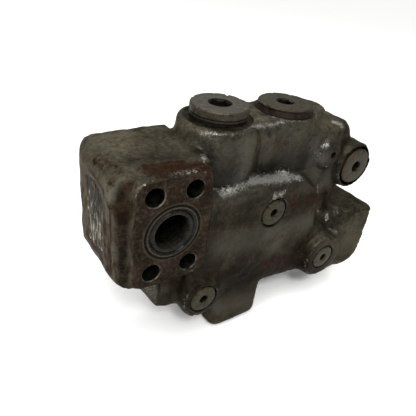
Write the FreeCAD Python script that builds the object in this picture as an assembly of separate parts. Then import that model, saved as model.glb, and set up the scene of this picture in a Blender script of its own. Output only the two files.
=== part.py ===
# Hose rupture valve for a hydraulic cylinder: a cast housing with a through-bolted flange block,
# a main check poppet, a pilot-operated metering spool, an overload relief and plugged galleries.
# Millimetres. The origin is the centre of the hose port on the flange face.
# +X runs along the front, +Y goes into the body away from the hose, +Z is up.
import FreeCAD, Part

import os
from math import cos, pi, sin

V = FreeCAD.Vector
X_DIR = V(1, 0, 0)
Y_DIR = V(0, 1, 0)
Z_DIR = V(0, 0, 1)
FRONT = V(0, -1, 0)        # the way every front-facing plug points

# Fits
THREAD_GAP = 0.05          # between a plain screw shank and its plain bore
SLIDE_GAP = 0.03           # radial running clearance of poppet, spool, piston and cone
PRESS_GAP = 0.01           # drawn gap round a pressed-in sleeve
SEAT_GAP = 0.03            # between a closed cone and its seat
OVERCUT = 1.0              # a cutter reaches this far past the face that it opens
EDGE_REACH = 1.0           # an edge this far past a plane is picked for rounding
ON_PLANE = 0.1             # an edge this close to a plane counts as on it

# Flange block: the hole pattern of a 1 inch high-pressure split flange with M12 screws
BOLT_SPACING_X = 27.8
BOLT_SPACING_Z = 57.2
BOLT_HOLE_R = 6.5
PORT_R = 12.5
PORT_LENGTH = 12.0         # machined mouth of either port
PORT_CHAMBER_R = 14.0      # cast chamber behind it
PORT_DEPTH = 30.0
PAD_MARGIN_X = 14.6        # from a bolt hole's centre to the pad's edge
PAD_MARGIN_Z = 12.2
PAD_CORNER_R = 12.0
PAD_PROUD = 3.5            # the machined pad stands this far in front of the cast face
BLOCK_DEPTH = 72.0
BLOCK_SIDE = 9.0           # cast metal beyond the pad on the left
BLOCK_ROUND = 12.0
BLOCK_RIGHT = 1.5          # cast metal beyond the pad on the right, top and bottom
BLOCK_TOP = 1.2
BLOCK_BOTTOM = 0.2
SLEEVE_WALL = 3.5
SLEEVE_LENGTH = 7.5
SLEEVE_CHAMFER = 0.6

# Nameplate and its pocket on the left side
POCKET_Y = 37.0
POCKET_Z = 1.0
POCKET_WIDTH = 28.0
POCKET_DEPTH = 1.6
POCKET_CORNER_R = 2.5
PLATE_MARGIN = 1.0
PLATE_THICK = 0.8
RIVET_PITCH = 46.0
RIVET_EDGE = 4.0           # from a rivet's centre to the pocket's end
RIVET_SHANK_R = 1.2
RIVET_HEAD_R = 2.3
RIVET_HEAD_HEIGHT = 1.0
RIVET_CROWN_R = 1.0        # flat top of the domed head
RIVET_SHOULDER_R = 2.0
RIVET_SHOULDER_HEIGHT = 0.6
RIVET_LENGTH = 6.0

# Housing masses
BORE_Y = 42.0              # both vertical bores stand in this plane
MAIN_X = 55.5
SPOOL_X = 117.5
PANEL_Y = 4.5              # cast front face
PANEL_LEFT_X = 20.0
PANEL_RIGHT_X = 147.0
PANEL_BOTTOM_Z = -84.0
PANEL_FALL = 7.0           # the bottom edge drops this much towards the right
PANEL_LEAN = 4.0           # its right edge leans out by this much on the way down
PANEL_STEP_Z = -38.0       # below this the panel runs on to the lower right boss
PANEL_STEP_FALL = 10.0
SHOULDER_Z = 13.0          # ledge between the panel and the towers
SHOULDER_END_X = 120.0
SHOULDER_DROP = 21.0
PANEL_ROUND = 5.0
BODY_BACK_Y = 69.0
TOWER_BOTTOM_Z = -42.0
MAIN_TOWER_R = 29.6
DECK_Z = 55.2              # top of both towers and the web
SPOOL_TOWER_R = 27.0
WEB_FRONT_Y = 21.5
WEB_BACK_Y = 64.0
VALLEY_R = 16.0            # hollow between tower and web
DECK_ROUND = 4.0

# Relief valve end
RELIEF_X = 176.0
RELIEF_Z = 12.0
RELIEF_FRONT_Y = 4.0
RELIEF_BOSS_R = 19.6
RELIEF_BACK_Y = 68.0
EAR_TOP_Z = 47.0
EAR_FRONT_Y = 14.0
EAR_RIGHT_X = 176.0
EAR_ROUND = 9.0
EAR_BACK_Y = 60.0
EAR_BOTTOM_Z = -39.0
RIB_HALF_HEIGHT = 10.0     # rib at the back that carries the relief's feed drilling
REAR_LOBE_X = 144.0        # the deck's low rear lobe, behind the second plug
REAR_LOBE_Y = 50.0
REAR_LOBE_R = 21.0
REAR_LOBE_DROP = 2.5       # its top lies this far below the deck
SCREW_X = 145.5
SCREW_Z = 26.5
SCREW_FRONT_Y = 5.5
SCREW_BOSS_R = 13.0
SCREW_BOSS_ROUND = 6.0
SCREW_BOSS_ROOT = 10.0     # the boss reaches this far into the ear
SCREW_HOLE_R = 2.5
SCREW_HOLE_DEPTH = 14.0

# Lower right lump, foot and lower left mass
LUMP_FRONT_Y = -5.0
LUMP_LEFT_X = 152.0
LUMP_ROOT_X = 140.0        # its hidden end inside the panel
LUMP_NOSE_X = 179.0        # the chamfered nose between its front face and the recess beside it
LUMP_NOSE_RUN = 7.0
LUMP_NOSE_DEPTH = 3.0
LUMP_RECESS_Y = 10.0
LUMP_FACE = 30.5           # length of its front face
LUMP_TOP_Z = -29.0
LUMP_BOTTOM_Z = -92.0
LUMP_BACK_Y = 52.0
LUMP_ROUND = 6.0
LUMP_CORNER_R = 14.0
SKIRT_FRONT_Y = -3.0       # web that joins the lump's nose to the lower right boss
SKIRT_OVERLAP = 14.0       # it runs on into the lump by this much
SKIRT_PEAK = 4.0           # its peak lies this far left of the nose
SKIRT_PEAK_Z = -52.0
SKIRT_TOP_Z = -64.0
SKIRT_BOTTOM_Z = -93.5
SKIRT_BACK_Y = 23.0
FOOT_LEFT_X = 49.0
FOOT_RIGHT_X = 98.0
FOOT_BACK_Y = 62.0
FOOT_Z = -120.5
FOOT_TOP_Z = -64.0         # its root inside the panel
FOOT_ROUND = 8.0
KEEL_LEFT_X = -14.0
KEEL_RIGHT_X = 59.0
KEEL_FRONT_Y = 18.0
KEEL_BACK_Y = 66.0
KEEL_TOP_Z = -26.0
KEEL_BOTTOM_Z = -89.0
KEEL_ROUND = 5.0
KEEL_SLANT_X = 19.0        # its lower left corner is cut back by this much
KEEL_SLANT_Z = 33.0
KEEL_GROOVE_X = 6.5
KEEL_GROOVE_R = 3.2

# Small gallery plugs: M18 with a hexagon socket, set flush in a counterbore
GALLERY_COLLAR_R = 11.5
GALLERY_COLLAR_H = 3.0
GALLERY_RIM = 0.9          # ring-shaped gap round the collar
GALLERY_SHANK_R = 9.0
GALLERY_SHANK_L = 11.0
GALLERY_HEX = 6.0
GALLERY_HEX_DEPTH = 7.0
GALLERY_RING_R = 0.9
GALLERY_R = 4.0
GALLERY_END_Y = 47.0
CROSS_R = 3.0
MIDDLE_X = 92.6
MIDDLE_Z = -12.8
LOWER_LEFT_X = 33.0
LOWER_LEFT_Z = -73.0
LOWER_LEFT_FRONT_Y = 0.5
LOWER_LEFT_BOSS_R = 18.0
LOWER_LEFT_ROOT_Y = 30.0
LOWER_RIGHT_X = 158.0
LOWER_RIGHT_Z = -72.0
LOWER_RIGHT_BOSS_R = 21.5
BOSS_ROUND = 3.0

# Main valve: plug, spacer, seat, poppet and spring
MAIN_COLLAR_R = 21.0
MAIN_COLLAR_H = 5.7
MAIN_SHANK_R = 18.0
MAIN_SHANK_L = 18.0
MAIN_HEX = 14.0
MAIN_HEX_DEPTH = 8.0
MAIN_RING_R = 1.3
SPOT_R = 24.6              # machined spotface round either large plug
SPOT_DEPTH = 0.6
SPACER_SPIGOT_R = 19.4
SPACER_SPIGOT_H = 2.6
SPACER_DISC_H = 1.6
SPACER_R = 20.8
UNDERCUT = 0.5             # the collar's outer underside is relieved by this much
GUIDE_R = 15.0
GUIDE_Z = 12.0
CHAMBER_R = 19.0
MAIN_SEAT_Z = -8.0
SEAT_BORE_R = 11.0
SEAT_WALL = 3.0
SEAT_LENGTH = 14.0
SEAT_CHAMFER = 1.0
LOWER_CHAMBER_R = 12.5
LOWER_CHAMBER_Z = -46.0
POPPET_NOSE_DROP = 3.0     # the cone reaches this far below the seat's chamfer
POPPET_TOP_Z = 30.0
POPPET_CAVITY_R = 9.8
POPPET_CAVITY_Z = -1.0
MAIN_SPRING_R = 7.9
MAIN_SPRING_WIRE = 2.6
MAIN_SPRING_TURNS = 7
MAIN_SPRING_ROOM = 10.5    # radius of the recess in the plug
NOZZLE_R = 2.5
NOZZLE_ORIFICE_R = 0.5
POPPET_NOZZLE_Z = 4.0
POPPET_NOZZLE_INSET = 0.4  # sunk below the poppet's wall at either end
PILOT_NOZZLE_L = 8.0
PILOT_NOZZLE_HEX_DEPTH = 3.0
PILOT_NOZZLE_DEPTH = 3.0   # behind the plug's end
PASSAGE_R = 8.4
PASSAGE_Y = 21.0
PASSAGE_TURN_X = 33.0
PASSAGE_LOW_Z = -35.0
CYLINDER_PASSAGE_Y = 52.0

# Metering spool, pilot piston and their springs
SPOOL_COLLAR_R = 21.0
SPOOL_COLLAR_H = 5.6
SPOOL_COLLAR_FLARE = 2.2
SPOOL_SHANK_R = 18.0
SPOOL_SHANK_L = 14.0
SPOOL_HEX = 12.0
SPOOL_HEX_DEPTH = 7.0
SPOOL_R = 9.0
SPOOL_BOTTOM_Z = -50.0
SPOOL_HEAD_Z = 8.0
SPOOL_WAIST_R = 6.0
SPOOL_WAIST_LOW_Z = -38.0
SPOOL_WAIST_HIGH_Z = -18.0
WAIST_RUN_LOW = 1.5        # length of the cones at the waist's ends
WAIST_RUN_HIGH = 3.0
BALANCE_GROOVE = 0.8
BALANCE_GROOVES = 3
SPRING_ROOM_R = 15.0
ANNULUS_R = 12.0
ANNULUS_H = 7.0
UPPER_ANNULUS_Z = -16.0
LOWER_ANNULUS_Z = -43.0
PISTON_R = 6.0
PISTON_ROOM_Z = -52.0
PISTON_BOTTOM_Z = -69.0
PILOT_CHAMBER_Z = -79.0
PISTON_RING_R = 0.7
CUP_R = 13.6
CUP_THICK = 3.0
CUP_BOSS_R = 5.0
CUP_BOSS_H = 4.0
OUTER_SPRING_R = 11.3
OUTER_SPRING_WIRE = 3.0
OUTER_SPRING_TURNS = 6
INNER_SPRING_R = 6.8
INNER_SPRING_WIRE = 1.8
INNER_SPRING_TURNS = 7
SPRING_RECESS_R = 13.8
SPRING_RECESS_Z = 47.5

# Overload relief, lying along Y
RELIEF_COLLAR_R = 15.2
RELIEF_COLLAR_H = 8.4
RELIEF_RIM = 2.5           # the collar stands in the middle of a wide groove
RELIEF_SEAT_Y = 12.0       # floor of the counterbore under the collar
RELIEF_SHANK_R = 13.5
RELIEF_SHANK_L = 13.0
RELIEF_HEX = 8.0
RELIEF_HEX_DEPTH = 7.0
RELIEF_ROOM_R = 10.5
RELIEF_ROOM_END_Y = 36.0
RELIEF_RECESS_R = 8.0
RELIEF_RECESS_DEPTH = 6.0
CONE_GUIDE_R = 7.0
CONE_GUIDE_L = 5.0
CONE_GUIDE_Y = 41.0
CONE_STEM_R = 3.2
CONE_STEM_L = 6.0
CONE_NECK_R = 4.0
CONE_TIP_L = 2.0           # how far the cone reaches into its seat, and the flat on its tip
CONE_TIP_R = 0.5
CONE_FLAT = 1.2            # oil passes the guide over two flats of this depth
RELIEF_LIP_Y = 50.0
RELIEF_LIP_R = 2.5
RELIEF_LIP_CHAMFER = 0.5
RELIEF_SLEEVE_R = 8.0
RELIEF_SLEEVE_L = 8.0
SHIM_THICK = 0.8
DISC_R = 7.5
DISC_THICK = 2.4
DISC_BOSS_H = 3.0
RELIEF_SPRING_R = 5.0
RELIEF_SPRING_WIRE = 2.2
RELIEF_SPRING_TURNS = 6
RELIEF_FEED_Y = 62.0
RELIEF_FEED_Z = 9.0
RELIEF_DRAIN_Y = 47.5
RELIEF_DRAIN_Z = 14.0

# Small shared details
CHAMFER = 0.8
RING_SQUEEZE = 0.9         # a squeezed ring's section over its free section
RING_SEATING = 0.95        # groove depth over ring width
ROUND_SIDES = 8            # flats that stand for a ring's or a wire's round section, to keep facets few
SEAL_INSET = 1.2           # from a collar's underside to its ring groove
GROOVE_SLACK = 1.3         # groove width over ring width

# Worked out from the above
PAD_HALF_X = BOLT_SPACING_X / 2 + PAD_MARGIN_X
PAD_HALF_Z = BOLT_SPACING_Z / 2 + PAD_MARGIN_Z
BLOCK_LEFT_X = -PAD_HALF_X - BLOCK_SIDE
BLOCK_RIGHT_X = PAD_HALF_X + BLOCK_RIGHT
BLOCK_TOP_Z = PAD_HALF_Z + BLOCK_TOP
BLOCK_BOTTOM_Z = -PAD_HALF_Z - BLOCK_BOTTOM
SLEEVE_R = PORT_R + SLEEVE_WALL
POCKET_HEIGHT = RIVET_PITCH + 2 * RIVET_EDGE
SPOT_Z = DECK_Z - SPOT_DEPTH
MAIN_FOOT_Z = SPOT_Z + SPACER_SPIGOT_H + SPACER_DISC_H
LUMP_RIGHT_X = LUMP_NOSE_X + LUMP_FACE
SKIRT_RIGHT_X = LUMP_NOSE_X + SKIRT_OVERLAP
GALLERY_SPOT_R = GALLERY_COLLAR_R + GALLERY_RIM
CUP_TOP_Z = SPOOL_HEAD_Z + CUP_THICK
GALLERIES = {
    "middle": (MIDDLE_X, PANEL_Y, MIDDLE_Z),
    "lower_left": (LOWER_LEFT_X, LOWER_LEFT_FRONT_Y, LOWER_LEFT_Z),
    "lower_right": (LOWER_RIGHT_X, LUMP_FRONT_Y, LOWER_RIGHT_Z),
}


def box(x0, x1, y0, y1, z0, z1):
    return Part.makeBox(x1 - x0, y1 - y0, z1 - z0, V(x0, y0, z0))


def rod_y(x, z, y0, y1, r):
    return Part.makeCylinder(r, y1 - y0, V(x, y0, z), Y_DIR)


def rod_z(x, y, z0, z1, r):
    return Part.makeCylinder(r, z1 - z0, V(x, y, z0), Z_DIR)


def drilled(start, end, r):
    """Straight drilling with a rounded end, from start to end."""
    way = end - start
    return Part.makeCylinder(r, way.Length, start, way).fuse(Part.makeSphere(r, end))


def is_along(edge, direction):
    span = edge.Vertexes[-1].Point - edge.Vertexes[0].Point
    return span.Length > 1e-6 and abs(abs(span.normalize().dot(direction)) - 1) < 1e-6


def rounded(shape, radius, chosen):
    return shape.makeFillet(radius, [edge for edge in shape.Edges if chosen(edge)])


def frame_of(axis):
    """Two directions square to the axis."""
    side = X_DIR if abs(axis.dot(X_DIR)) < 0.9 else Y_DIR
    return side, axis.cross(side)


def turned(profile, foot, axis):
    """Revolve a closed profile of (radius, height) points about the axis through foot."""
    side = frame_of(axis)[0]
    points = [foot + side * r + axis * h for r, h in profile]
    return Part.Face(Part.makePolygon(points + points[:1])).revolve(foot, axis, 360)


def hexagon(across, foot, axis, length):
    side, other = frame_of(axis)
    corner = across / 2 / cos(pi / 6)
    points = [foot + side * (corner * cos(pi * k / 3)) + other * (corner * sin(pi * k / 3))
              for k in range(6)]
    return Part.Face(Part.makePolygon(points + points[:1])).extrude(axis * length)


def prism(outline, direction, length):
    return Part.Face(Part.makePolygon(outline + outline[:1])).extrude(direction * length)


def round_section(middle, r):
    """Regular outline in the XZ plane inside the circle of radius r, with a flat on each side."""
    turn = 2 * pi / ROUND_SIDES
    points = [middle + V(cos((k + 0.5) * turn), 0, sin((k + 0.5) * turn)) * r for k in range(ROUND_SIDES)]
    return Part.makePolygon(points + points[:1])


def seal_ring(foot, axis, mean_r, section_r):
    ring = Part.Face(round_section(V(mean_r, 0, 0), section_r)).revolve(V(0, 0, 0), Z_DIR, 360)
    ring.Placement = FreeCAD.Placement(foot, FreeCAD.Rotation(Z_DIR, axis))
    return ring


def coil_spring(foot, axis, mean_r, wire, length, turns):
    """Round-wire compression spring between two flat seats, at foot and at foot + length."""
    height = length - wire - 2 * THREAD_GAP
    helix = Part.makeHelix(height / turns, height, mean_r)
    coil = Part.Wire(helix).makePipeShell([round_section(V(mean_r, 0, 0), wire / 2)], True, True)
    start = foot + axis * (wire / 2 + THREAD_GAP)
    coil.Placement = FreeCAD.Placement(start, FreeCAD.Rotation(Z_DIR, axis))
    return coil


def screw_plug(foot, axis, collar_r, collar_h, shank_r, shank_l, hex_across, hex_depth, ring_r,
               undercut_r=0, flare=0, recess_r=0, recess_depth=0):
    """Plug with a collar, a ring groove and a hexagon socket; foot is where its underside seats."""
    groove_r = shank_r - 2 * ring_r * RING_SEATING
    groove_low = -SEAL_INSET - 2 * ring_r * GROOVE_SLACK
    profile = [(0, -shank_l), (shank_r - CHAMFER, -shank_l), (shank_r, CHAMFER - shank_l),
               (shank_r, groove_low), (groove_r, groove_low), (groove_r, -SEAL_INSET),
               (shank_r, -SEAL_INSET), (shank_r, 0)]
    if undercut_r:
        profile += [(undercut_r, 0), (undercut_r, UNDERCUT), (collar_r, UNDERCUT)]
    else:
        profile += [(collar_r + flare, 0)]
    profile += [(collar_r, collar_h / 2), (collar_r, collar_h - CHAMFER), (collar_r - CHAMFER, collar_h),
                (0, collar_h)]
    plug = turned(profile, foot, axis)
    plug = plug.cut(hexagon(hex_across, foot + axis * (collar_h - hex_depth), axis, hex_depth + OVERCUT))
    if recess_r:
        low = foot - axis * (shank_l + OVERCUT)
        plug = plug.cut(Part.makeCylinder(recess_r, recess_depth + OVERCUT, low, axis))
    return plug


def plug_ring(foot, axis, shank_r, ring_r):
    """Sealing ring in the groove of screw_plug, squeezed to just inside the bore."""
    middle = foot - axis * (SEAL_INSET + ring_r * GROOVE_SLACK)
    section_r = ring_r * RING_SQUEEZE
    return seal_ring(middle, axis, shank_r - section_r, section_r)


def flange_block():
    block = box(BLOCK_LEFT_X, BLOCK_RIGHT_X, PAD_PROUD, BLOCK_DEPTH - PAD_PROUD / 2, BLOCK_BOTTOM_Z,
                BLOCK_TOP_Z)
    block = rounded(block, BLOCK_ROUND, lambda e: abs(e.CenterOfMass.x - BLOCK_LEFT_X) < ON_PLANE
                    or is_along(e, X_DIR) and e.CenterOfMass.y < BORE_Y and e.CenterOfMass.z > 0)
    back = BLOCK_DEPTH - 2 * PAD_PROUD
    for y0, y1 in ((0, 2 * PAD_PROUD), (back, BLOCK_DEPTH)):
        pad = box(-PAD_HALF_X, PAD_HALF_X, y0, y1, -PAD_HALF_Z, PAD_HALF_Z)
        block = block.fuse(rounded(pad, PAD_CORNER_R, lambda e: is_along(e, Y_DIR)))
    return block


def front_panel():
    top_right = SHOULDER_Z - SHOULDER_DROP
    outline = [V(PANEL_LEFT_X, PANEL_Y, SHOULDER_Z), V(SHOULDER_END_X, PANEL_Y, SHOULDER_Z),
               V(PANEL_RIGHT_X - PANEL_LEAN, PANEL_Y, top_right), V(PANEL_RIGHT_X, PANEL_Y, PANEL_STEP_Z),
               V(LOWER_RIGHT_X + PANEL_ROUND, PANEL_Y, PANEL_STEP_Z - PANEL_STEP_FALL),
               V(LOWER_RIGHT_X + PANEL_ROUND, PANEL_Y, PANEL_BOTTOM_Z - PANEL_FALL),
               V(FOOT_RIGHT_X, PANEL_Y, PANEL_BOTTOM_Z),
               V(PANEL_LEFT_X, PANEL_Y, PANEL_BOTTOM_Z)]
    panel = prism(outline, Y_DIR, BODY_BACK_Y - PANEL_Y)
    panel = rounded(panel, 2 * PANEL_ROUND, lambda e: is_along(e, Y_DIR)
                    and e.CenterOfMass.x > SHOULDER_END_X - EDGE_REACH)
    return rounded(panel, PANEL_ROUND, lambda e: abs(e.BoundBox.YMax - PANEL_Y) < 0.01
                   or abs(e.BoundBox.YMin - BODY_BACK_Y) < 0.01)


def tower_block():
    """Both towers and the web between them: one outline, with the hollows and the deck's edge rounded."""
    main = rod_z(MAIN_X, BORE_Y, TOWER_BOTTOM_Z, DECK_Z, MAIN_TOWER_R)
    spool = rod_z(SPOOL_X, BORE_Y, TOWER_BOTTOM_Z, DECK_Z, SPOOL_TOWER_R)
    web = box(MAIN_X, SPOOL_X, WEB_FRONT_Y, WEB_BACK_Y, TOWER_BOTTOM_Z, DECK_Z)
    towers = main.fuse(web).fuse(spool).removeSplitter()
    towers = rounded(towers, VALLEY_R, lambda e: is_along(e, Z_DIR) and MAIN_X < e.CenterOfMass.x < SPOOL_X)
    return rounded(towers, DECK_ROUND, lambda e: e.BoundBox.ZMin > DECK_Z - 0.01)


def relief_end():
    """Right-hand end of the housing round the relief bore, with the tapped boss beside it."""
    ear = box(SPOOL_X, EAR_RIGHT_X, EAR_FRONT_Y, EAR_BACK_Y, EAR_BOTTOM_Z, EAR_TOP_Z)
    ear = rounded(ear, EAR_ROUND, lambda e: abs(e.CenterOfMass.x - EAR_RIGHT_X) < ON_PLANE
                  or is_along(e, X_DIR) and e.CenterOfMass.z > 0)
    rib = box(SPOOL_X, RELIEF_X, BORE_Y, RELIEF_BACK_Y, RELIEF_FEED_Z - RIB_HALF_HEIGHT,
              RELIEF_FEED_Z + RIB_HALF_HEIGHT)
    lobe = rod_z(REAR_LOBE_X, REAR_LOBE_Y, 0, DECK_Z - REAR_LOBE_DROP, REAR_LOBE_R)
    lobe = rounded(lobe, DECK_ROUND, lambda e: e.BoundBox.ZMin > EDGE_REACH)
    boss = rod_y(RELIEF_X, RELIEF_Z, RELIEF_FRONT_Y, RELIEF_BACK_Y, RELIEF_BOSS_R)
    boss = rounded(boss, BOSS_ROUND / 2, lambda e: abs(e.BoundBox.YMax - RELIEF_FRONT_Y) < 0.01)
    boss = rounded(boss, PANEL_ROUND, lambda e: abs(e.BoundBox.YMin - RELIEF_BACK_Y) < 0.01)
    screw = rod_y(SCREW_X, SCREW_Z, SCREW_FRONT_Y, EAR_FRONT_Y + SCREW_BOSS_ROOT, SCREW_BOSS_R)
    screw = rounded(screw, SCREW_BOSS_ROUND, lambda e: abs(e.BoundBox.YMax - SCREW_FRONT_Y) < 0.01)
    return ear.multiFuse([rib, lobe, boss, screw])


def lower_right_lump():
    outline = [V(LUMP_ROOT_X, LUMP_RECESS_Y + LUMP_NOSE_DEPTH, LUMP_BOTTOM_Z),
               V(LUMP_NOSE_X - LUMP_NOSE_RUN, LUMP_RECESS_Y, LUMP_BOTTOM_Z),
               V(LUMP_NOSE_X, LUMP_FRONT_Y + LUMP_NOSE_DEPTH, LUMP_BOTTOM_Z),
               V(LUMP_NOSE_X + LUMP_NOSE_RUN, LUMP_FRONT_Y, LUMP_BOTTOM_Z),
               V(LUMP_RIGHT_X, LUMP_FRONT_Y, LUMP_BOTTOM_Z), V(LUMP_RIGHT_X, LUMP_BACK_Y, LUMP_BOTTOM_Z),
               V(LUMP_ROOT_X, LUMP_BACK_Y, LUMP_BOTTOM_Z)]
    lump = prism(outline, Z_DIR, LUMP_TOP_Z - LUMP_BOTTOM_Z)
    lump = rounded(lump, LUMP_CORNER_R, lambda e: is_along(e, Y_DIR)
                   and e.CenterOfMass.x > LUMP_RIGHT_X - ON_PLANE
                   and e.CenterOfMass.z < LUMP_BOTTOM_Z + ON_PLANE)
    lump = rounded(lump, LUMP_ROUND, lambda e: e.CenterOfMass.z > LUMP_TOP_Z - ON_PLANE
                   and e.CenterOfMass.x > LUMP_LEFT_X)
    boss = rod_y(LOWER_RIGHT_X, LOWER_RIGHT_Z, LUMP_FRONT_Y, SKIRT_BACK_Y, LOWER_RIGHT_BOSS_R)
    boss = rounded(boss, BOSS_ROUND, lambda e: abs(e.BoundBox.YMax - LUMP_FRONT_Y) < 0.01)
    skirt = prism([V(LOWER_RIGHT_X, SKIRT_FRONT_Y, SKIRT_TOP_Z),
                   V(LUMP_NOSE_X - SKIRT_PEAK, SKIRT_FRONT_Y, SKIRT_PEAK_Z),
                   V(SKIRT_RIGHT_X, SKIRT_FRONT_Y, LOWER_RIGHT_Z),
                   V(SKIRT_RIGHT_X, SKIRT_FRONT_Y, LUMP_BOTTOM_Z),
                   V(LOWER_RIGHT_X, SKIRT_FRONT_Y, SKIRT_BOTTOM_Z)], Y_DIR, SKIRT_BACK_Y - SKIRT_FRONT_Y)
    skirt = rounded(skirt, BOSS_ROUND, lambda e: abs(e.BoundBox.YMax - SKIRT_FRONT_Y) < 0.01)
    return lump.multiFuse([boss, skirt])


def lower_left_end():
    """Foot, keel under the flange block and the boss of the lower left plug."""
    foot = box(FOOT_LEFT_X, FOOT_RIGHT_X, PANEL_Y, FOOT_BACK_Y, FOOT_Z, FOOT_TOP_Z)
    foot = rounded(foot, FOOT_ROUND, lambda e: e.CenterOfMass.z < FOOT_TOP_Z - EDGE_REACH)
    keel = prism([V(KEEL_LEFT_X, KEEL_FRONT_Y, KEEL_TOP_Z), V(KEEL_RIGHT_X, KEEL_FRONT_Y, KEEL_TOP_Z),
                  V(KEEL_RIGHT_X, KEEL_FRONT_Y, KEEL_BOTTOM_Z),
                  V(KEEL_LEFT_X + KEEL_SLANT_X, KEEL_FRONT_Y, KEEL_BOTTOM_Z),
                  V(KEEL_LEFT_X, KEEL_FRONT_Y, KEEL_BOTTOM_Z + KEEL_SLANT_Z)],
                 Y_DIR, KEEL_BACK_Y - KEEL_FRONT_Y)
    keel = rounded(keel, 2 * KEEL_ROUND, lambda e: is_along(e, Y_DIR) and e.CenterOfMass.x < KEEL_GROOVE_X
                   and e.CenterOfMass.z < BLOCK_BOTTOM_Z)
    keel = rounded(keel, KEEL_ROUND, lambda e: abs(e.BoundBox.YMax - KEEL_FRONT_Y) < 0.01
                   and e.CenterOfMass.x < FOOT_LEFT_X and e.CenterOfMass.z < BLOCK_BOTTOM_Z)
    groove = rod_z(KEEL_GROOVE_X, KEEL_FRONT_Y, KEEL_BOTTOM_Z - OVERCUT, BLOCK_BOTTOM_Z, KEEL_GROOVE_R)
    boss = rod_y(LOWER_LEFT_X, LOWER_LEFT_Z, LOWER_LEFT_FRONT_Y, LOWER_LEFT_ROOT_Y, LOWER_LEFT_BOSS_R)
    boss = rounded(boss, BOSS_ROUND, lambda e: abs(e.BoundBox.YMax - LOWER_LEFT_FRONT_Y) < 0.01)
    return foot.multiFuse([keel.cut(groove), boss])


def flange_cuts():
    cuts = [rod_y(side_x * BOLT_SPACING_X / 2, side_z * BOLT_SPACING_Z / 2, -OVERCUT, BLOCK_DEPTH + OVERCUT,
                  BOLT_HOLE_R) for side_x in (-1, 1) for side_z in (-1, 1)]
    for mouth_y, way in ((0, Y_DIR), (BLOCK_DEPTH, FRONT)):
        port = [(0, -OVERCUT), (PORT_R, -OVERCUT), (PORT_R, PORT_LENGTH), (PORT_CHAMBER_R, PORT_LENGTH),
                (PORT_CHAMBER_R, PORT_DEPTH), (0, PORT_DEPTH)]
        cuts.append(turned(port, V(0, mouth_y, 0), way))
    cuts.append(rod_y(0, 0, -OVERCUT, SLEEVE_LENGTH, SLEEVE_R + PRESS_GAP))
    turn = V(PASSAGE_TURN_X, PASSAGE_Y, 0)
    low = V(PASSAGE_TURN_X, PASSAGE_Y, PASSAGE_LOW_Z)
    cuts.append(drilled(V(0, PASSAGE_Y, 0), turn, PASSAGE_R))
    cuts.append(drilled(turn, low, PASSAGE_R))
    cuts.append(drilled(low, V(MAIN_X, BORE_Y, PASSAGE_LOW_Z), PASSAGE_R))
    chamber_middle = V(MAIN_X, BORE_Y, (MAIN_SEAT_Z + GUIDE_Z) / 2)
    cuts.append(drilled(V(0, CYLINDER_PASSAGE_Y, 0), chamber_middle, PASSAGE_R))
    pocket = box(BLOCK_LEFT_X - OVERCUT, BLOCK_LEFT_X + POCKET_DEPTH, POCKET_Y - POCKET_WIDTH / 2,
                 POCKET_Y + POCKET_WIDTH / 2, POCKET_Z - POCKET_HEIGHT / 2, POCKET_Z + POCKET_HEIGHT / 2)
    cuts.append(rounded(pocket, POCKET_CORNER_R, lambda e: is_along(e, X_DIR)))
    for side in (-1, 1):
        place = V(BLOCK_LEFT_X - OVERCUT, POCKET_Y, POCKET_Z + side * RIVET_PITCH / 2)
        depth = POCKET_DEPTH + RIVET_LENGTH + OVERCUT
        cuts.append(Part.makeCylinder(RIVET_SHANK_R + THREAD_GAP, depth, place, X_DIR))
    return cuts


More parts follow.
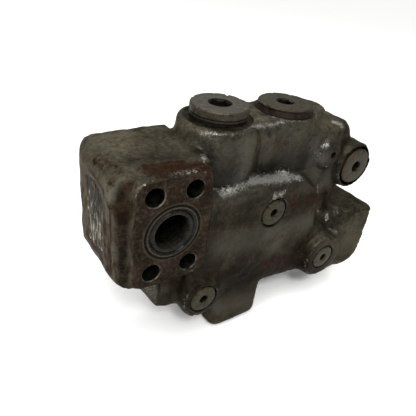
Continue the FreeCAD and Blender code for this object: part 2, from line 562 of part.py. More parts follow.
def bore_cuts():
    seat_low = MAIN_SEAT_Z - SEAT_LENGTH
    seat_hole_r = SEAT_BORE_R + SEAT_WALL + PRESS_GAP
    thread_end = MAIN_FOOT_Z - MAIN_SHANK_L - OVERCUT
    main = [(0, LOWER_CHAMBER_Z), (LOWER_CHAMBER_R, LOWER_CHAMBER_Z), (LOWER_CHAMBER_R, seat_low),
            (seat_hole_r, seat_low), (seat_hole_r, MAIN_SEAT_Z), (CHAMBER_R, MAIN_SEAT_Z),
            (CHAMBER_R, GUIDE_Z), (GUIDE_R, GUIDE_Z), (GUIDE_R, thread_end),
            (MAIN_SHANK_R + THREAD_GAP, thread_end), (MAIN_SHANK_R + THREAD_GAP, SPOT_Z), (SPOT_R, SPOT_Z),
            (SPOT_R, MAIN_FOOT_Z), (0, MAIN_FOOT_Z)]
    spool_thread_end = SPOT_Z - SPOOL_SHANK_L - OVERCUT
    spool = [(0, PILOT_CHAMBER_Z), (PISTON_R, PILOT_CHAMBER_Z), (PISTON_R, PISTON_ROOM_Z),
             (SPOOL_R, PISTON_ROOM_Z)]
    for low in (LOWER_ANNULUS_Z, UPPER_ANNULUS_Z):
        high = low + ANNULUS_H
        spool += [(SPOOL_R, low), (ANNULUS_R, low), (ANNULUS_R, high), (SPOOL_R, high)]
    spool += [(SPOOL_R, SPOOL_HEAD_Z), (SPRING_ROOM_R, SPOOL_HEAD_Z), (SPRING_ROOM_R, spool_thread_end),
              (SPOOL_SHANK_R + THREAD_GAP, spool_thread_end), (SPOOL_SHANK_R + THREAD_GAP, SPOT_Z),
              (SPOT_R, SPOT_Z), (SPOT_R, DECK_Z + OVERCUT), (0, DECK_Z + OVERCUT)]
    relief_thread_end = RELIEF_SEAT_Y + RELIEF_SHANK_L + OVERCUT
    sleeve_end = RELIEF_LIP_Y + RELIEF_SLEEVE_L
    relief = [(0, RELIEF_FRONT_Y - OVERCUT), (RELIEF_COLLAR_R + RELIEF_RIM, RELIEF_FRONT_Y - OVERCUT),
              (RELIEF_COLLAR_R + RELIEF_RIM, RELIEF_SEAT_Y), (RELIEF_SHANK_R + THREAD_GAP, RELIEF_SEAT_Y),
              (RELIEF_SHANK_R + THREAD_GAP, relief_thread_end), (RELIEF_ROOM_R, relief_thread_end),
              (RELIEF_ROOM_R, RELIEF_ROOM_END_Y), (CONE_GUIDE_R, RELIEF_ROOM_END_Y),
              (CONE_GUIDE_R, RELIEF_LIP_Y), (RELIEF_SLEEVE_R + PRESS_GAP, RELIEF_LIP_Y),
              (RELIEF_SLEEVE_R + PRESS_GAP, sleeve_end), (CROSS_R, sleeve_end),
              (CROSS_R, RELIEF_FEED_Y), (0, RELIEF_FEED_Y)]
    return [turned(main, V(MAIN_X, BORE_Y, 0), Z_DIR), turned(spool, V(SPOOL_X, BORE_Y, 0), Z_DIR),
            turned(relief, V(RELIEF_X, 0, RELIEF_Z), Y_DIR),
            rod_y(SCREW_X, SCREW_Z, SCREW_FRONT_Y - OVERCUT, SCREW_FRONT_Y + SCREW_HOLE_DEPTH, SCREW_HOLE_R)]


def gallery_cuts():
    cuts = []
    for x, y, z in GALLERIES.values():
        floor = y + GALLERY_COLLAR_H
        cuts.append(rod_y(x, z, y - OVERCUT, floor, GALLERY_SPOT_R))
        cuts.append(rod_y(x, z, y, floor + GALLERY_SHANK_L + OVERCUT, GALLERY_SHANK_R + THREAD_GAP))
        cuts.append(drilled(V(x, y, z), V(x, GALLERY_END_Y, z), GALLERY_R))
    middle = V(MIDDLE_X, BORE_Y, MIDDLE_Z)
    cuts.append(drilled(middle, V(SPOOL_X - SPOOL_R, BORE_Y, UPPER_ANNULUS_Z + ANNULUS_H / 2), CROSS_R))
    cuts.append(drilled(middle, V(MAIN_X + CHAMBER_R, BORE_Y, (MAIN_SEAT_Z + GUIDE_Z) / 2), CROSS_R))
    pilot = V(LOWER_LEFT_X, BORE_Y, LOWER_LEFT_Z)
    cuts.append(drilled(pilot, V(SPOOL_X, BORE_Y, LOWER_LEFT_Z), CROSS_R))
    drain = V(LOWER_RIGHT_X, BORE_Y, LOWER_RIGHT_Z)
    cuts.append(drilled(drain, V(SPOOL_X + SPOOL_R, BORE_Y, LOWER_ANNULUS_Z + ANNULUS_H / 2), CROSS_R))
    feed = V(RELIEF_X, RELIEF_FEED_Y, RELIEF_FEED_Z)
    cuts.append(drilled(feed, V(MAIN_X, RELIEF_FEED_Y, RELIEF_FEED_Z), CROSS_R))
    relief_out = V(RELIEF_X, RELIEF_DRAIN_Y, RELIEF_DRAIN_Z)
    cuts.append(drilled(relief_out, V(SPOOL_X + SPRING_ROOM_R / 2, RELIEF_DRAIN_Y, RELIEF_DRAIN_Z), CROSS_R))
    return cuts


def housing():
    casting = flange_block().multiFuse([front_panel(), tower_block(), relief_end(), lower_right_lump(),
                                        lower_left_end()])
    for cuts in (flange_cuts(), bore_cuts(), gallery_cuts()):
        casting = casting.cut(Part.makeCompound(cuts))
    return casting


def save(node, shape):
    shape.exportStep("parts/%s.step" % node)
    print(node, "solids", len(shape.Solids), "volume", round(shape.Volume, 1), "valid", shape.isValid())


def make_flange_pieces():
    save("hose_port_sleeve", turned(
        [(PORT_R, 0), (SLEEVE_R - SLEEVE_CHAMFER, 0), (SLEEVE_R, SLEEVE_CHAMFER), (SLEEVE_R, SLEEVE_LENGTH),
         (PORT_R, SLEEVE_LENGTH)], V(0, 0, 0), Y_DIR))
    plate_x = BLOCK_LEFT_X + POCKET_DEPTH - PLATE_THICK
    half_w, half_h = POCKET_WIDTH / 2 - PLATE_MARGIN, POCKET_HEIGHT / 2 - PLATE_MARGIN
    plate = box(plate_x, BLOCK_LEFT_X + POCKET_DEPTH, POCKET_Y - half_w, POCKET_Y + half_w,
                POCKET_Z - half_h, POCKET_Z + half_h)
    plate = rounded(plate, POCKET_CORNER_R, lambda e: is_along(e, X_DIR))
    rivets = []
    for side in (-1, 1):
        place = V(plate_x, POCKET_Y, POCKET_Z + side * RIVET_PITCH / 2)
        plate = plate.cut(Part.makeCylinder(RIVET_SHANK_R + THREAD_GAP, PLATE_THICK, place, X_DIR))
        head = [(0, 0), (RIVET_HEAD_R, 0), (RIVET_SHOULDER_R, RIVET_SHOULDER_HEIGHT),
                (RIVET_CROWN_R, RIVET_HEAD_HEIGHT), (0, RIVET_HEAD_HEIGHT)]
        shank = Part.makeCylinder(RIVET_SHANK_R, RIVET_LENGTH, place, X_DIR)
        rivets.append(turned(head, place, -X_DIR).fuse(shank).removeSplitter())
    save("name_plate", plate)
    save("name_plate_rivets", Part.makeCompound(rivets))


def make_main_valve():
    axis_foot = V(MAIN_X, BORE_Y, 0)
    foot = V(MAIN_X, BORE_Y, MAIN_FOOT_Z)
    spring_top = MAIN_FOOT_Z - MAIN_SHANK_L / 2
    save("main_plug", screw_plug(foot, Z_DIR, MAIN_COLLAR_R, MAIN_COLLAR_H + UNDERCUT, MAIN_SHANK_R,
                                 MAIN_SHANK_L, MAIN_HEX, MAIN_HEX_DEPTH, MAIN_RING_R,
                                 undercut_r=SPACER_SPIGOT_R, recess_r=MAIN_SPRING_ROOM,
                                 recess_depth=MAIN_SHANK_L / 2))
    save("main_plug_seal", plug_ring(foot, Z_DIR, MAIN_SHANK_R, MAIN_RING_R))
    spacer_bore = MAIN_SHANK_R + THREAD_GAP
    spacer_top = SPACER_SPIGOT_H + SPACER_DISC_H
    save("main_plug_washer", turned(
        [(spacer_bore, 0), (SPACER_SPIGOT_R, 0), (SPACER_SPIGOT_R, SPACER_SPIGOT_H),
         (SPACER_R, SPACER_SPIGOT_H), (SPACER_R, spacer_top), (spacer_bore, spacer_top)],
        V(MAIN_X, BORE_Y, SPOT_Z), Z_DIR))
    lip_z = MAIN_SEAT_Z - SEAT_CHAMFER
    seat_r = SEAT_BORE_R + SEAT_WALL
    seat_foot = MAIN_SEAT_Z - SEAT_LENGTH
    save("main_seat", turned(
        [(SEAT_BORE_R, seat_foot), (seat_r, seat_foot), (seat_r, MAIN_SEAT_Z),
         (SEAT_BORE_R + SEAT_CHAMFER, MAIN_SEAT_Z), (SEAT_BORE_R, lip_z)], axis_foot, Z_DIR))
    guide = GUIDE_R - SLIDE_GAP
    cone_foot = lip_z + SEAT_GAP * 2 ** 0.5
    poppet = turned(
        [(0, cone_foot - POPPET_NOSE_DROP), (SEAT_BORE_R - POPPET_NOSE_DROP, cone_foot - POPPET_NOSE_DROP),
         (guide, cone_foot + guide - SEAT_BORE_R), (guide, POPPET_TOP_Z - CHAMFER),
         (guide - CHAMFER, POPPET_TOP_Z),
         (POPPET_CAVITY_R, POPPET_TOP_Z), (POPPET_CAVITY_R, POPPET_CAVITY_Z), (0, POPPET_CAVITY_Z)],
        axis_foot, Z_DIR)
    nozzle_foot = V(MAIN_X, BORE_Y, POPPET_NOZZLE_Z)
    poppet = poppet.cut(Part.makeCylinder(NOZZLE_R + THREAD_GAP, GUIDE_R, nozzle_foot, X_DIR))
    save("main_poppet", poppet)
    inner, outer = POPPET_CAVITY_R + POPPET_NOZZLE_INSET, guide - POPPET_NOZZLE_INSET
    save("poppet_nozzle", turned(
        [(NOZZLE_ORIFICE_R, inner), (NOZZLE_R, inner), (NOZZLE_R, outer), (NOZZLE_ORIFICE_R, outer)],
        nozzle_foot, X_DIR))
    save("main_spring", coil_spring(V(MAIN_X, BORE_Y, POPPET_CAVITY_Z), Z_DIR, MAIN_SPRING_R,
                                    MAIN_SPRING_WIRE, spring_top - POPPET_CAVITY_Z, MAIN_SPRING_TURNS))


def make_spool_valve():
    axis_foot = V(SPOOL_X, BORE_Y, 0)
    foot = V(SPOOL_X, BORE_Y, SPOT_Z)
    recess = SPRING_RECESS_Z - (SPOT_Z - SPOOL_SHANK_L)
    save("spool_plug", screw_plug(foot, Z_DIR, SPOOL_COLLAR_R, SPOOL_COLLAR_H, SPOOL_SHANK_R, SPOOL_SHANK_L,
                                  SPOOL_HEX, SPOOL_HEX_DEPTH, MAIN_RING_R, flare=SPOOL_COLLAR_FLARE,
                                  recess_r=SPRING_RECESS_R, recess_depth=recess))
    save("spool_plug_seal", plug_ring(foot, Z_DIR, SPOOL_SHANK_R, MAIN_RING_R))
    land = SPOOL_R - SLIDE_GAP
    profile = [(0, SPOOL_BOTTOM_Z), (land - CHAMFER, SPOOL_BOTTOM_Z), (land, SPOOL_BOTTOM_Z + CHAMFER),
               (land, SPOOL_WAIST_LOW_Z), (SPOOL_WAIST_R, SPOOL_WAIST_LOW_Z + WAIST_RUN_LOW),
               (SPOOL_WAIST_R, SPOOL_WAIST_HIGH_Z - WAIST_RUN_HIGH), (land, SPOOL_WAIST_HIGH_Z)]
    for groove in range(1, BALANCE_GROOVES + 1):
        low = SPOOL_WAIST_HIGH_Z + groove * (SPOOL_HEAD_Z - SPOOL_WAIST_HIGH_Z) / (BALANCE_GROOVES + 1)
        floor = land - BALANCE_GROOVE / 2
        profile += [(land, low), (floor, low), (floor, low + BALANCE_GROOVE), (land, low + BALANCE_GROOVE)]
    profile += [(land, SPOOL_HEAD_Z - CHAMFER), (land - CHAMFER, SPOOL_HEAD_Z), (0, SPOOL_HEAD_Z)]
    save("metering_spool", turned(profile, axis_foot, Z_DIR))
    save("spool_spring_cup", turned(
        [(0, SPOOL_HEAD_Z), (CUP_R - CHAMFER, SPOOL_HEAD_Z), (CUP_R, SPOOL_HEAD_Z + CHAMFER),
         (CUP_R, CUP_TOP_Z), (CUP_BOSS_R, CUP_TOP_Z), (CUP_BOSS_R - CHAMFER, CUP_TOP_Z + CUP_BOSS_H),
         (0, CUP_TOP_Z + CUP_BOSS_H)], axis_foot, Z_DIR))
    spring_foot = V(SPOOL_X, BORE_Y, CUP_TOP_Z)
    spring_length = SPRING_RECESS_Z - CUP_TOP_Z
    save("spool_outer_spring", coil_spring(spring_foot, Z_DIR, OUTER_SPRING_R, OUTER_SPRING_WIRE,
                                           spring_length, OUTER_SPRING_TURNS))
    save("spool_inner_spring", coil_spring(spring_foot, Z_DIR, INNER_SPRING_R, INNER_SPRING_WIRE,
                                           spring_length, INNER_SPRING_TURNS))
    rod = PISTON_R - SLIDE_GAP
    ring_z = (PISTON_BOTTOM_Z + PISTON_ROOM_Z) / 2
    groove_half = PISTON_RING_R * GROOVE_SLACK
    groove_r = rod - 2 * PISTON_RING_R * RING_SEATING
    top = SPOOL_BOTTOM_Z - THREAD_GAP
    save("pilot_piston", turned(
        [(0, PISTON_BOTTOM_Z), (rod - CHAMFER, PISTON_BOTTOM_Z), (rod, PISTON_BOTTOM_Z + CHAMFER),
         (rod, ring_z - groove_half), (groove_r, ring_z - groove_half), (groove_r, ring_z + groove_half),
         (rod, ring_z + groove_half), (rod, top - CHAMFER), (rod - CHAMFER, top), (0, top)],
        axis_foot, Z_DIR))
    section_r = PISTON_RING_R * RING_SQUEEZE
    save("pilot_piston_ring", seal_ring(V(SPOOL_X, BORE_Y, ring_z), Z_DIR, rod - section_r, section_r))


def make_relief_valve():
    """Laid out from the plug's underside inwards; heights are Y values on the relief bore's axis."""
    axis_foot = V(RELIEF_X, 0, RELIEF_Z)
    foot = V(RELIEF_X, RELIEF_SEAT_Y, RELIEF_Z)
    save("relief_plug", screw_plug(foot, FRONT, RELIEF_COLLAR_R, RELIEF_COLLAR_H, RELIEF_SHANK_R,
                                   RELIEF_SHANK_L, RELIEF_HEX, RELIEF_HEX_DEPTH, GALLERY_RING_R,
                                   recess_r=RELIEF_RECESS_R, recess_depth=RELIEF_RECESS_DEPTH))
    save("relief_plug_seal", plug_ring(foot, FRONT, RELIEF_SHANK_R, GALLERY_RING_R))
    roof = RELIEF_SEAT_Y + RELIEF_SHANK_L - RELIEF_RECESS_DEPTH
    disc = roof + SHIM_THICK
    save("relief_shim", turned([(0, roof), (DISC_R, roof), (DISC_R, disc), (0, disc)], axis_foot, Y_DIR))
    spring_y = disc + DISC_THICK
    save("relief_spring_disc", turned(
        [(0, disc), (DISC_R, disc), (DISC_R, spring_y), (CONE_STEM_R, spring_y),
         (CONE_STEM_R, spring_y + DISC_BOSS_H), (0, spring_y + DISC_BOSS_H)], axis_foot, Y_DIR))
    save("relief_spring", coil_spring(V(RELIEF_X, spring_y, RELIEF_Z), Y_DIR, RELIEF_SPRING_R,
                                      RELIEF_SPRING_WIRE, CONE_GUIDE_Y - spring_y, RELIEF_SPRING_TURNS))
    guide = CONE_GUIDE_R - SLIDE_GAP
    cone_tip = RELIEF_LIP_Y + RELIEF_LIP_CHAMFER - SEAT_GAP * 2 ** 0.5
    stem_end, guide_end = CONE_GUIDE_Y - CONE_STEM_L, CONE_GUIDE_Y + CONE_GUIDE_L
    cone = turned(
        [(0, stem_end), (CONE_STEM_R, stem_end), (CONE_STEM_R, CONE_GUIDE_Y), (guide, CONE_GUIDE_Y),
         (guide, guide_end), (CONE_NECK_R, guide_end),
         (CONE_NECK_R, cone_tip - (CONE_NECK_R - RELIEF_LIP_R)), (CONE_TIP_R, cone_tip + CONE_TIP_L),
         (0, cone_tip + CONE_TIP_L)], axis_foot, Y_DIR)
    flat_x, edge_x = CONE_GUIDE_R - CONE_FLAT, CONE_GUIDE_R + OVERCUT
    for x0, x1 in ((-edge_x, -flat_x), (flat_x, edge_x)):
        cone = cone.cut(box(RELIEF_X + x0, RELIEF_X + x1, CONE_GUIDE_Y - OVERCUT, RELIEF_LIP_Y,
                            RELIEF_Z - CONE_GUIDE_R, RELIEF_Z + CONE_GUIDE_R))
    save("relief_cone", cone)
    save("relief_seat", turned(
        [(RELIEF_LIP_R + RELIEF_LIP_CHAMFER, RELIEF_LIP_Y), (RELIEF_SLEEVE_R, RELIEF_LIP_Y),
         (RELIEF_SLEEVE_R, RELIEF_LIP_Y + RELIEF_SLEEVE_L), (RELIEF_LIP_R, RELIEF_LIP_Y + RELIEF_SLEEVE_L),
         (RELIEF_LIP_R, RELIEF_LIP_Y + RELIEF_LIP_CHAMFER)], axis_foot, Y_DIR))


def make_gallery_plugs():
    for name, (x, y, z) in GALLERIES.items():
        foot = V(x, y + GALLERY_COLLAR_H, z)
        save(name + "_gallery_plug", screw_plug(foot, FRONT, GALLERY_COLLAR_R, GALLERY_COLLAR_H,
                                                GALLERY_SHANK_R, GALLERY_SHANK_L, GALLERY_HEX,
                                                GALLERY_HEX_DEPTH, GALLERY_RING_R))
        save(name + "_plug_seal", plug_ring(foot, FRONT, GALLERY_SHANK_R, GALLERY_RING_R))
    nozzle_y = LOWER_LEFT_FRONT_Y + GALLERY_COLLAR_H + GALLERY_SHANK_L + PILOT_NOZZLE_DEPTH
    nozzle_r = GALLERY_R - THREAD_GAP
    nozzle = turned([(NOZZLE_ORIFICE_R, 0), (nozzle_r, 0), (nozzle_r, PILOT_NOZZLE_L),
                     (NOZZLE_ORIFICE_R, PILOT_NOZZLE_L)], V(LOWER_LEFT_X, nozzle_y, LOWER_LEFT_Z), Y_DIR)
    socket = hexagon(GALLERY_R, V(LOWER_LEFT_X, nozzle_y - OVERCUT, LOWER_LEFT_Z), Y_DIR,
                     PILOT_NOZZLE_HEX_DEPTH + OVERCUT)
    save("pilot_nozzle", nozzle.cut(socket))


os.makedirs("parts", exist_ok=True)
save("valve_body", housing())
make_flange_pieces()
make_main_valve()
make_spool_valve()
make_relief_valve()
make_gallery_plugs()
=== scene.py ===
# Looks of the hose rupture valve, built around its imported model.
# Sizes in the sections are millimetres and become metres where a mesh is made; colours are sRGB hex.
import math

import bmesh
import bpy
import numpy as np
from mathutils import Matrix, Vector, noise


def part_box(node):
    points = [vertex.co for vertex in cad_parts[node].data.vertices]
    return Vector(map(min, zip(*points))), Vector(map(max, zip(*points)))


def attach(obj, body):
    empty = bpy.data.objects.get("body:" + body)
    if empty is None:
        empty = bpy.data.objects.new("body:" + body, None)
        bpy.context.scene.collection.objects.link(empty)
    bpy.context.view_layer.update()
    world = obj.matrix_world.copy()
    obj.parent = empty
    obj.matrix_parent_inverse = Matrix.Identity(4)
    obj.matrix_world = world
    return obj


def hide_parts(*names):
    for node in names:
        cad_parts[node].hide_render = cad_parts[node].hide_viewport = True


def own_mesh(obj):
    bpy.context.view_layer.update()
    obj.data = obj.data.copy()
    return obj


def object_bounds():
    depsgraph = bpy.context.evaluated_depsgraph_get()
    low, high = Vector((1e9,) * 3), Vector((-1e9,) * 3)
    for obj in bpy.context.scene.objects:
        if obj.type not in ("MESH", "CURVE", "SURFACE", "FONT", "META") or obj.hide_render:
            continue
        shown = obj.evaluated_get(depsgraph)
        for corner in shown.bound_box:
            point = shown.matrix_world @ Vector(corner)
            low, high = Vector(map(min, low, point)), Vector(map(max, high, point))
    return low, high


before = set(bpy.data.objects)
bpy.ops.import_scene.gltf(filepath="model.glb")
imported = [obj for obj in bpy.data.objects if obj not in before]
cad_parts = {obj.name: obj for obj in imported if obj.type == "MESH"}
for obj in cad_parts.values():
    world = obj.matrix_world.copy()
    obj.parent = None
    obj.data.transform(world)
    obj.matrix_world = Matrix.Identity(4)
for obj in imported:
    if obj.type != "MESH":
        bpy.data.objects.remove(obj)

cad_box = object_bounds()


# The camera that took the picture: its turns and lens were solved from the flange's hole pattern,
# and it looks down on the valve's front from the left.
MM = 0.001
CAMERA_PLACE = Vector((-119.4, -186.2, 160.3)) * MM
CAMERA_TURN = (math.radians(-37.76), math.radians(90 - 32.17), math.radians(7.73))
FOCAL_PIXELS = 431.7
PHOTO_SIDE = 416

camera_data = bpy.data.cameras.new("camera")
camera_data.sensor_width = 36
camera_data.lens = camera_data.sensor_width * FOCAL_PIXELS / PHOTO_SIDE
camera_data.clip_start = 0.005
camera = bpy.data.objects.new("camera", camera_data)
heading, tilt, roll = CAMERA_TURN
turn = Matrix.Rotation(heading, 4, "Z") @ Matrix.Rotation(tilt, 4, "X") @ Matrix.Rotation(roll, 4, "Z")
camera.matrix_world = Matrix.Translation(CAMERA_PLACE) @ turn
bpy.context.collection.objects.link(camera)
bpy.context.scene.camera = camera


# The stage: a flat white sheet of paper on the ground, with large soft boxes, as in a parts dealer's photo
# booth.
FLOOR_SIDE = 30.0
FLOOR_GAP = 0.2
FLOOR_COLOUR = "#fbfbfa"
FIBRE_MM = 3
BOOTH_LIGHT = 0.40
CEILING_LIGHT = 2.1
CEILING_SPREAD = 50
SOFT_BOXES = (("key_box", (-0.35, -0.75, 0.95), 0.22, 8), ("rear_box", (0.5, 0.7, 1.0), 0.4, 4),
              ("left_box", (-1.1, -0.2, 0.5), 0.4, 4))


def linear(hex_colour):
    """sRGB hex to the linear RGBA that shaders take."""
    parts = [int(hex_colour[k:k + 2], 16) / 255 for k in (1, 3, 5)]
    return [p / 12.92 if p <= 0.04045 else ((p + 0.055) / 1.055) ** 2.4 for p in parts] + [1.0]


def new_object(name, mesh):
    """Wrap a bmesh in an object at the origin."""
    data = bpy.data.meshes.new(name)
    mesh.to_mesh(data)
    mesh.free()
    piece = bpy.data.objects.new(name, data)
    bpy.context.collection.objects.link(piece)
    return piece


def new_material(name):
    """A material with an empty node tree."""
    material = bpy.data.materials.new(name)
    material.use_nodes = True
    material.node_tree.nodes.clear()
    return material, material.node_tree


def add(tree, kind, inputs=None, output=0, stops=(), **settings):
    """Add one shader node and give back one of its outputs.

    inputs maps a socket's name or number to a value, a hex colour or another node's output. stops are a
    colour ramp's places from 0 to 1, each with a hex colour or a grey level.
    """
    made = tree.nodes.new("ShaderNode" + kind)
    for key, value in settings.items():
        setattr(made, key, value)
    for key, value in (inputs or {}).items():
        if isinstance(value, bpy.types.NodeSocket):
            tree.links.new(value, made.inputs[key])
        else:
            made.inputs[key].default_value = linear(value) if isinstance(value, str) else value
    if stops:
        marks = made.color_ramp.elements
        while len(marks) < len(stops):
            marks.new(0.5)
        for mark, (place, colour) in zip(marks, stops):
            mark.position = place
            mark.color = linear(colour) if isinstance(colour, str) else (colour, colour, colour, 1)
    return made.outputs[output] if made.outputs else None


floor_mesh = bmesh.new()
bmesh.ops.create_grid(floor_mesh, x_segments=1, y_segments=1, size=FLOOR_SIDE / 2)
bmesh.ops.translate(floor_mesh, verts=floor_mesh.verts, vec=(0, 0, cad_box[0][2] - FLOOR_GAP * MM))
floor = new_object("floor", floor_mesh)
paper, tree = new_material("white_paper")
fibres = add(tree, "TexNoise", {"Scale": 1 / (FIBRE_MM * MM), "Detail": 2, "Roughness": 0.5})
paper_skin = add(tree, "Bump", {"Height": fibres, "Strength": 0.05, "Distance": 0.05 * MM})
shader = add(tree, "BsdfPrincipled", {"Base Color": FLOOR_COLOUR, "Roughness": 0.9, "Normal": paper_skin})
add(tree, "OutputMaterial", {"Surface": shader})
floor.data.materials.append(paper)

world = bpy.data.worlds.new("booth")
world.use_nodes = True
booth = world.node_tree.nodes["Background"].inputs
booth["Color"].default_value = (1, 1, 1, 1)
booth["Strength"].default_value = BOOTH_LIGHT
bpy.context.scene.world = world
bpy.context.scene.view_settings.view_transform = "Standard"

ceiling_data = bpy.data.lights.new("ceiling", "SUN")
ceiling_data.energy = CEILING_LIGHT
ceiling_data.angle = math.radians(CEILING_SPREAD)
ceiling = bpy.data.objects.new("ceiling", ceiling_data)
ceiling.rotation_euler = Vector((-0.25, -0.35, 1)).to_track_quat("Z", "Y").to_euler()
bpy.context.collection.objects.link(ceiling)
object_middle = Vector([(low + high) / 2 for low, high in zip(*cad_box)])
for lamp_name, place, side, power in SOFT_BOXES:
    lamp_data = bpy.data.lights.new(lamp_name, "AREA")
    lamp_data.size = side
    lamp_data.energy = power
    lamp = bpy.data.objects.new(lamp_name, lamp_data)
    lamp.location = place
    lamp.rotation_euler = (Vector(place) - object_middle).to_track_quat("Z", "Y").to_euler()
    bpy.context.collection.objects.link(lamp)


# The housing: sand-cast grey iron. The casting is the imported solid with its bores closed, remade as an even
# mesh, with its inner corners filled as a foundry's fillets are and its skin left slightly lumpy by the sand.
VOXEL = 1.35
EDGE_ROUNDS = 5
EDGE_EVENING = 0.5
FILLET_ROUNDS = 26
FILLET_FILL = 0.7
LUMPS = ((0.75, 16.0), (0.28, 6.5), (0.08, 3.0))


def box_middle(node):
    low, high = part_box(node)
    return [(a + b) / 2 / MM for a, b in zip(low, high)]


def set_at(foot, axis):
    """From a piece's own upright axis, in millimetres, to its foot and axis in the frame, in metres."""
    way = Vector(axis).to_track_quat("Z", "Y").to_matrix().to_4x4()
    return Matrix.Scale(MM, 4) @ Matrix.Translation(foot) @ way


def turned(name, profile, foot, axis, steps=96):
    """Spin an outline of (radius, height) points about the axis through foot, both in millimetres."""
    mesh = bmesh.new()
    corners = [mesh.verts.new((r, 0, h)) for r, h in profile]
    pairs = list(zip(corners, corners[1:]))
    if profile[0][0] > 0:
        pairs.append((corners[-1], corners[0]))
    for first, second in pairs:
        mesh.edges.new((first, second))
    bmesh.ops.spin(mesh, geom=mesh.verts[:] + mesh.edges[:], cent=(0, 0, 0), axis=(0, 0, 1),
                   angle=2 * math.pi, steps=steps, use_merge=True)
    bmesh.ops.remove_doubles(mesh, verts=mesh.verts, dist=1e-5)
    bmesh.ops.recalc_face_normals(mesh, faces=mesh.faces)
    bmesh.ops.transform(mesh, matrix=set_at(foot, axis), verts=mesh.verts)
    return new_object(name, mesh)


def rod(r, low, high):
    return [(0, low), (r, low), (r, high), (0, high)]


def drop(piece):
    data = piece.data
    bpy.data.objects.remove(piece)
    bpy.data.meshes.remove(data)


def baked(piece):
    """Turn a piece's modifiers into its mesh."""
    shape = bpy.data.meshes.new_from_object(piece.evaluated_get(bpy.context.evaluated_depsgraph_get()))
    piece.modifiers.clear()
    old = piece.data
    piece.data = shape
    bpy.data.meshes.remove(old)


PORT_R = 12.5
PORT_LENGTH = 12.0
PORT_CHAMBER_R = 14.0
PORT_DEPTH = 30.0
SLEEVE_SEAT = (16.01, 7.5)
BOLT_X = 13.9
BOLT_Z = 28.6
BOLT_R = 6.5
BLOCK_DEPTH = 72.0
DECK_Z = 55.2
SPOT_Z = 54.6
SPOT_R = 24.6
main_x, bore_y = box_middle("main_plug")[:2]
spool_x = box_middle("spool_plug")[0]
relief_x, _, relief_z = box_middle("relief_plug")
RELIEF_FRONT_Y = 4.0
RELIEF_SEAT_Y = 12.0
RELIEF_MOUTH_R = 17.7
SCREW_FRONT = (145.5, 5.5, 26.5)
SCREW_R = 2.5
GALLERY_SPOT_R = 12.4
GALLERY_NAMES = ("middle", "lower_left", "lower_right")
FRONT, BACK, UP, DOWN, LEFT = (0, -1, 0), (0, 1, 0), (0, 0, 1), (0, 0, -1), (-1, 0, 0)
gallery_fronts = []
for name in GALLERY_NAMES:
    x, _, z = box_middle(name + "_gallery_plug")
    gallery_fronts.append((x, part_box(name + "_gallery_plug")[0][1] / MM, z))
bolt_holes = [(side * BOLT_X, 0, end * BOLT_Z) for side in (-1, 1) for end in (-1, 1)]
relief_front = (relief_x, RELIEF_FRONT_Y, relief_z)

# Short stoppers close each bore's mouth, a little wider than it, so that the remeshing fills the casting.
STOPPER = 9
STOPPER_OVER = 0.5
BOLT_STOPPER_OVER = 0.3
mouths = [(SLEEVE_SEAT[0], (0, 0, 0), BACK), (PORT_R, (0, BLOCK_DEPTH, 0), FRONT),
          (SPOT_R, (main_x, bore_y, DECK_Z), DOWN), (SPOT_R, (spool_x, bore_y, DECK_Z), DOWN),
          (RELIEF_MOUTH_R, relief_front, BACK), (SCREW_R, SCREW_FRONT, BACK)]
mouths += [(GALLERY_SPOT_R, front, BACK) for front in gallery_fronts]
stoppers = [turned("stopper", rod(r + STOPPER_OVER, 0, STOPPER), foot, way) for r, foot, way in mouths]
stoppers += [turned("stopper", rod(BOLT_R + BOLT_STOPPER_OVER, 0, BLOCK_DEPTH), hole, BACK)
             for hole in bolt_holes]

form = bmesh.new()
form.from_mesh(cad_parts["valve_body"].data)
bmesh.ops.remove_doubles(form, verts=form.verts, dist=1e-6)
for stopper in stoppers:
    form.from_mesh(stopper.data)
    drop(stopper)
casting = new_object("cast_housing", form)
remesh = casting.modifiers.new("even_mesh", "REMESH")
remesh.mode = "VOXEL"
remesh.voxel_size = VOXEL * MM
baked(casting)

count = len(casting.data.vertices)
places = np.empty(count * 3)
casting.data.vertices.foreach_get("co", places)
places = places.reshape(-1, 3)
ends = np.empty(len(casting.data.edges) * 2, dtype=int)
casting.data.edges.foreach_get("vertices", ends)
ends = ends.reshape(-1, 2)
joined = np.bincount(ends.ravel(), minlength=count)[:, None]


def pulled(points):
    """From each vertex to the middle of its neighbours."""
    total = np.zeros_like(points)
    for near, far in ((0, 1), (1, 0)):
        for axis in range(3):
            total[:, axis] += np.bincount(ends[:, near], weights=points[ends[:, far], axis], minlength=count)
    return total / joined - points


def outward(points):
    """Vertex normals of the mesh at these places."""
    casting.data.vertices.foreach_set("co", points.ravel())
    casting.data.update()
    normals = np.empty(count * 3)
    casting.data.vertex_normals.foreach_get("vector", normals)
    return normals.reshape(-1, 3)


for step in range(EDGE_ROUNDS):
    places = places + EDGE_EVENING * pulled(places)
for step in range(FILLET_ROUNDS):
    pull = pulled(places)
    normals = outward(places)
    hollow = np.sum(pull * normals, axis=1)
    places = places + FILLET_FILL * np.clip(hollow, 0, None)[:, None] * normals
normals = outward(places)

# The pattern maker's flutes down the towers' front, then the flange pads, cast 1 mm proud for milling.
FLUTES = ((74, 9, 1.8), (90, 9, 4.2), (104, 6, -1.0), (121, 5, -1.6), (131, 6, 1.2), (140, 5, -1.2))
FLUTE_ROUNDS = 30
FLUTE_EVENING = 0.6
FLUTE_FACING = (0, 2 / 3)
FLUTE_BACK = (34, 24)
FLUTE_FOOT = (15, 24)
FLUTE_HEAD = (54, 47)
PAD_HALF = (27.3, 39.6)
PAD_PROUD = 1.0
PAD_NEAR = 2.5


def ramp(amounts, none, full):
    """From 0 where the amounts are none to 1 where they are full."""
    return np.clip((amounts - none) / (full - none), 0, 1)


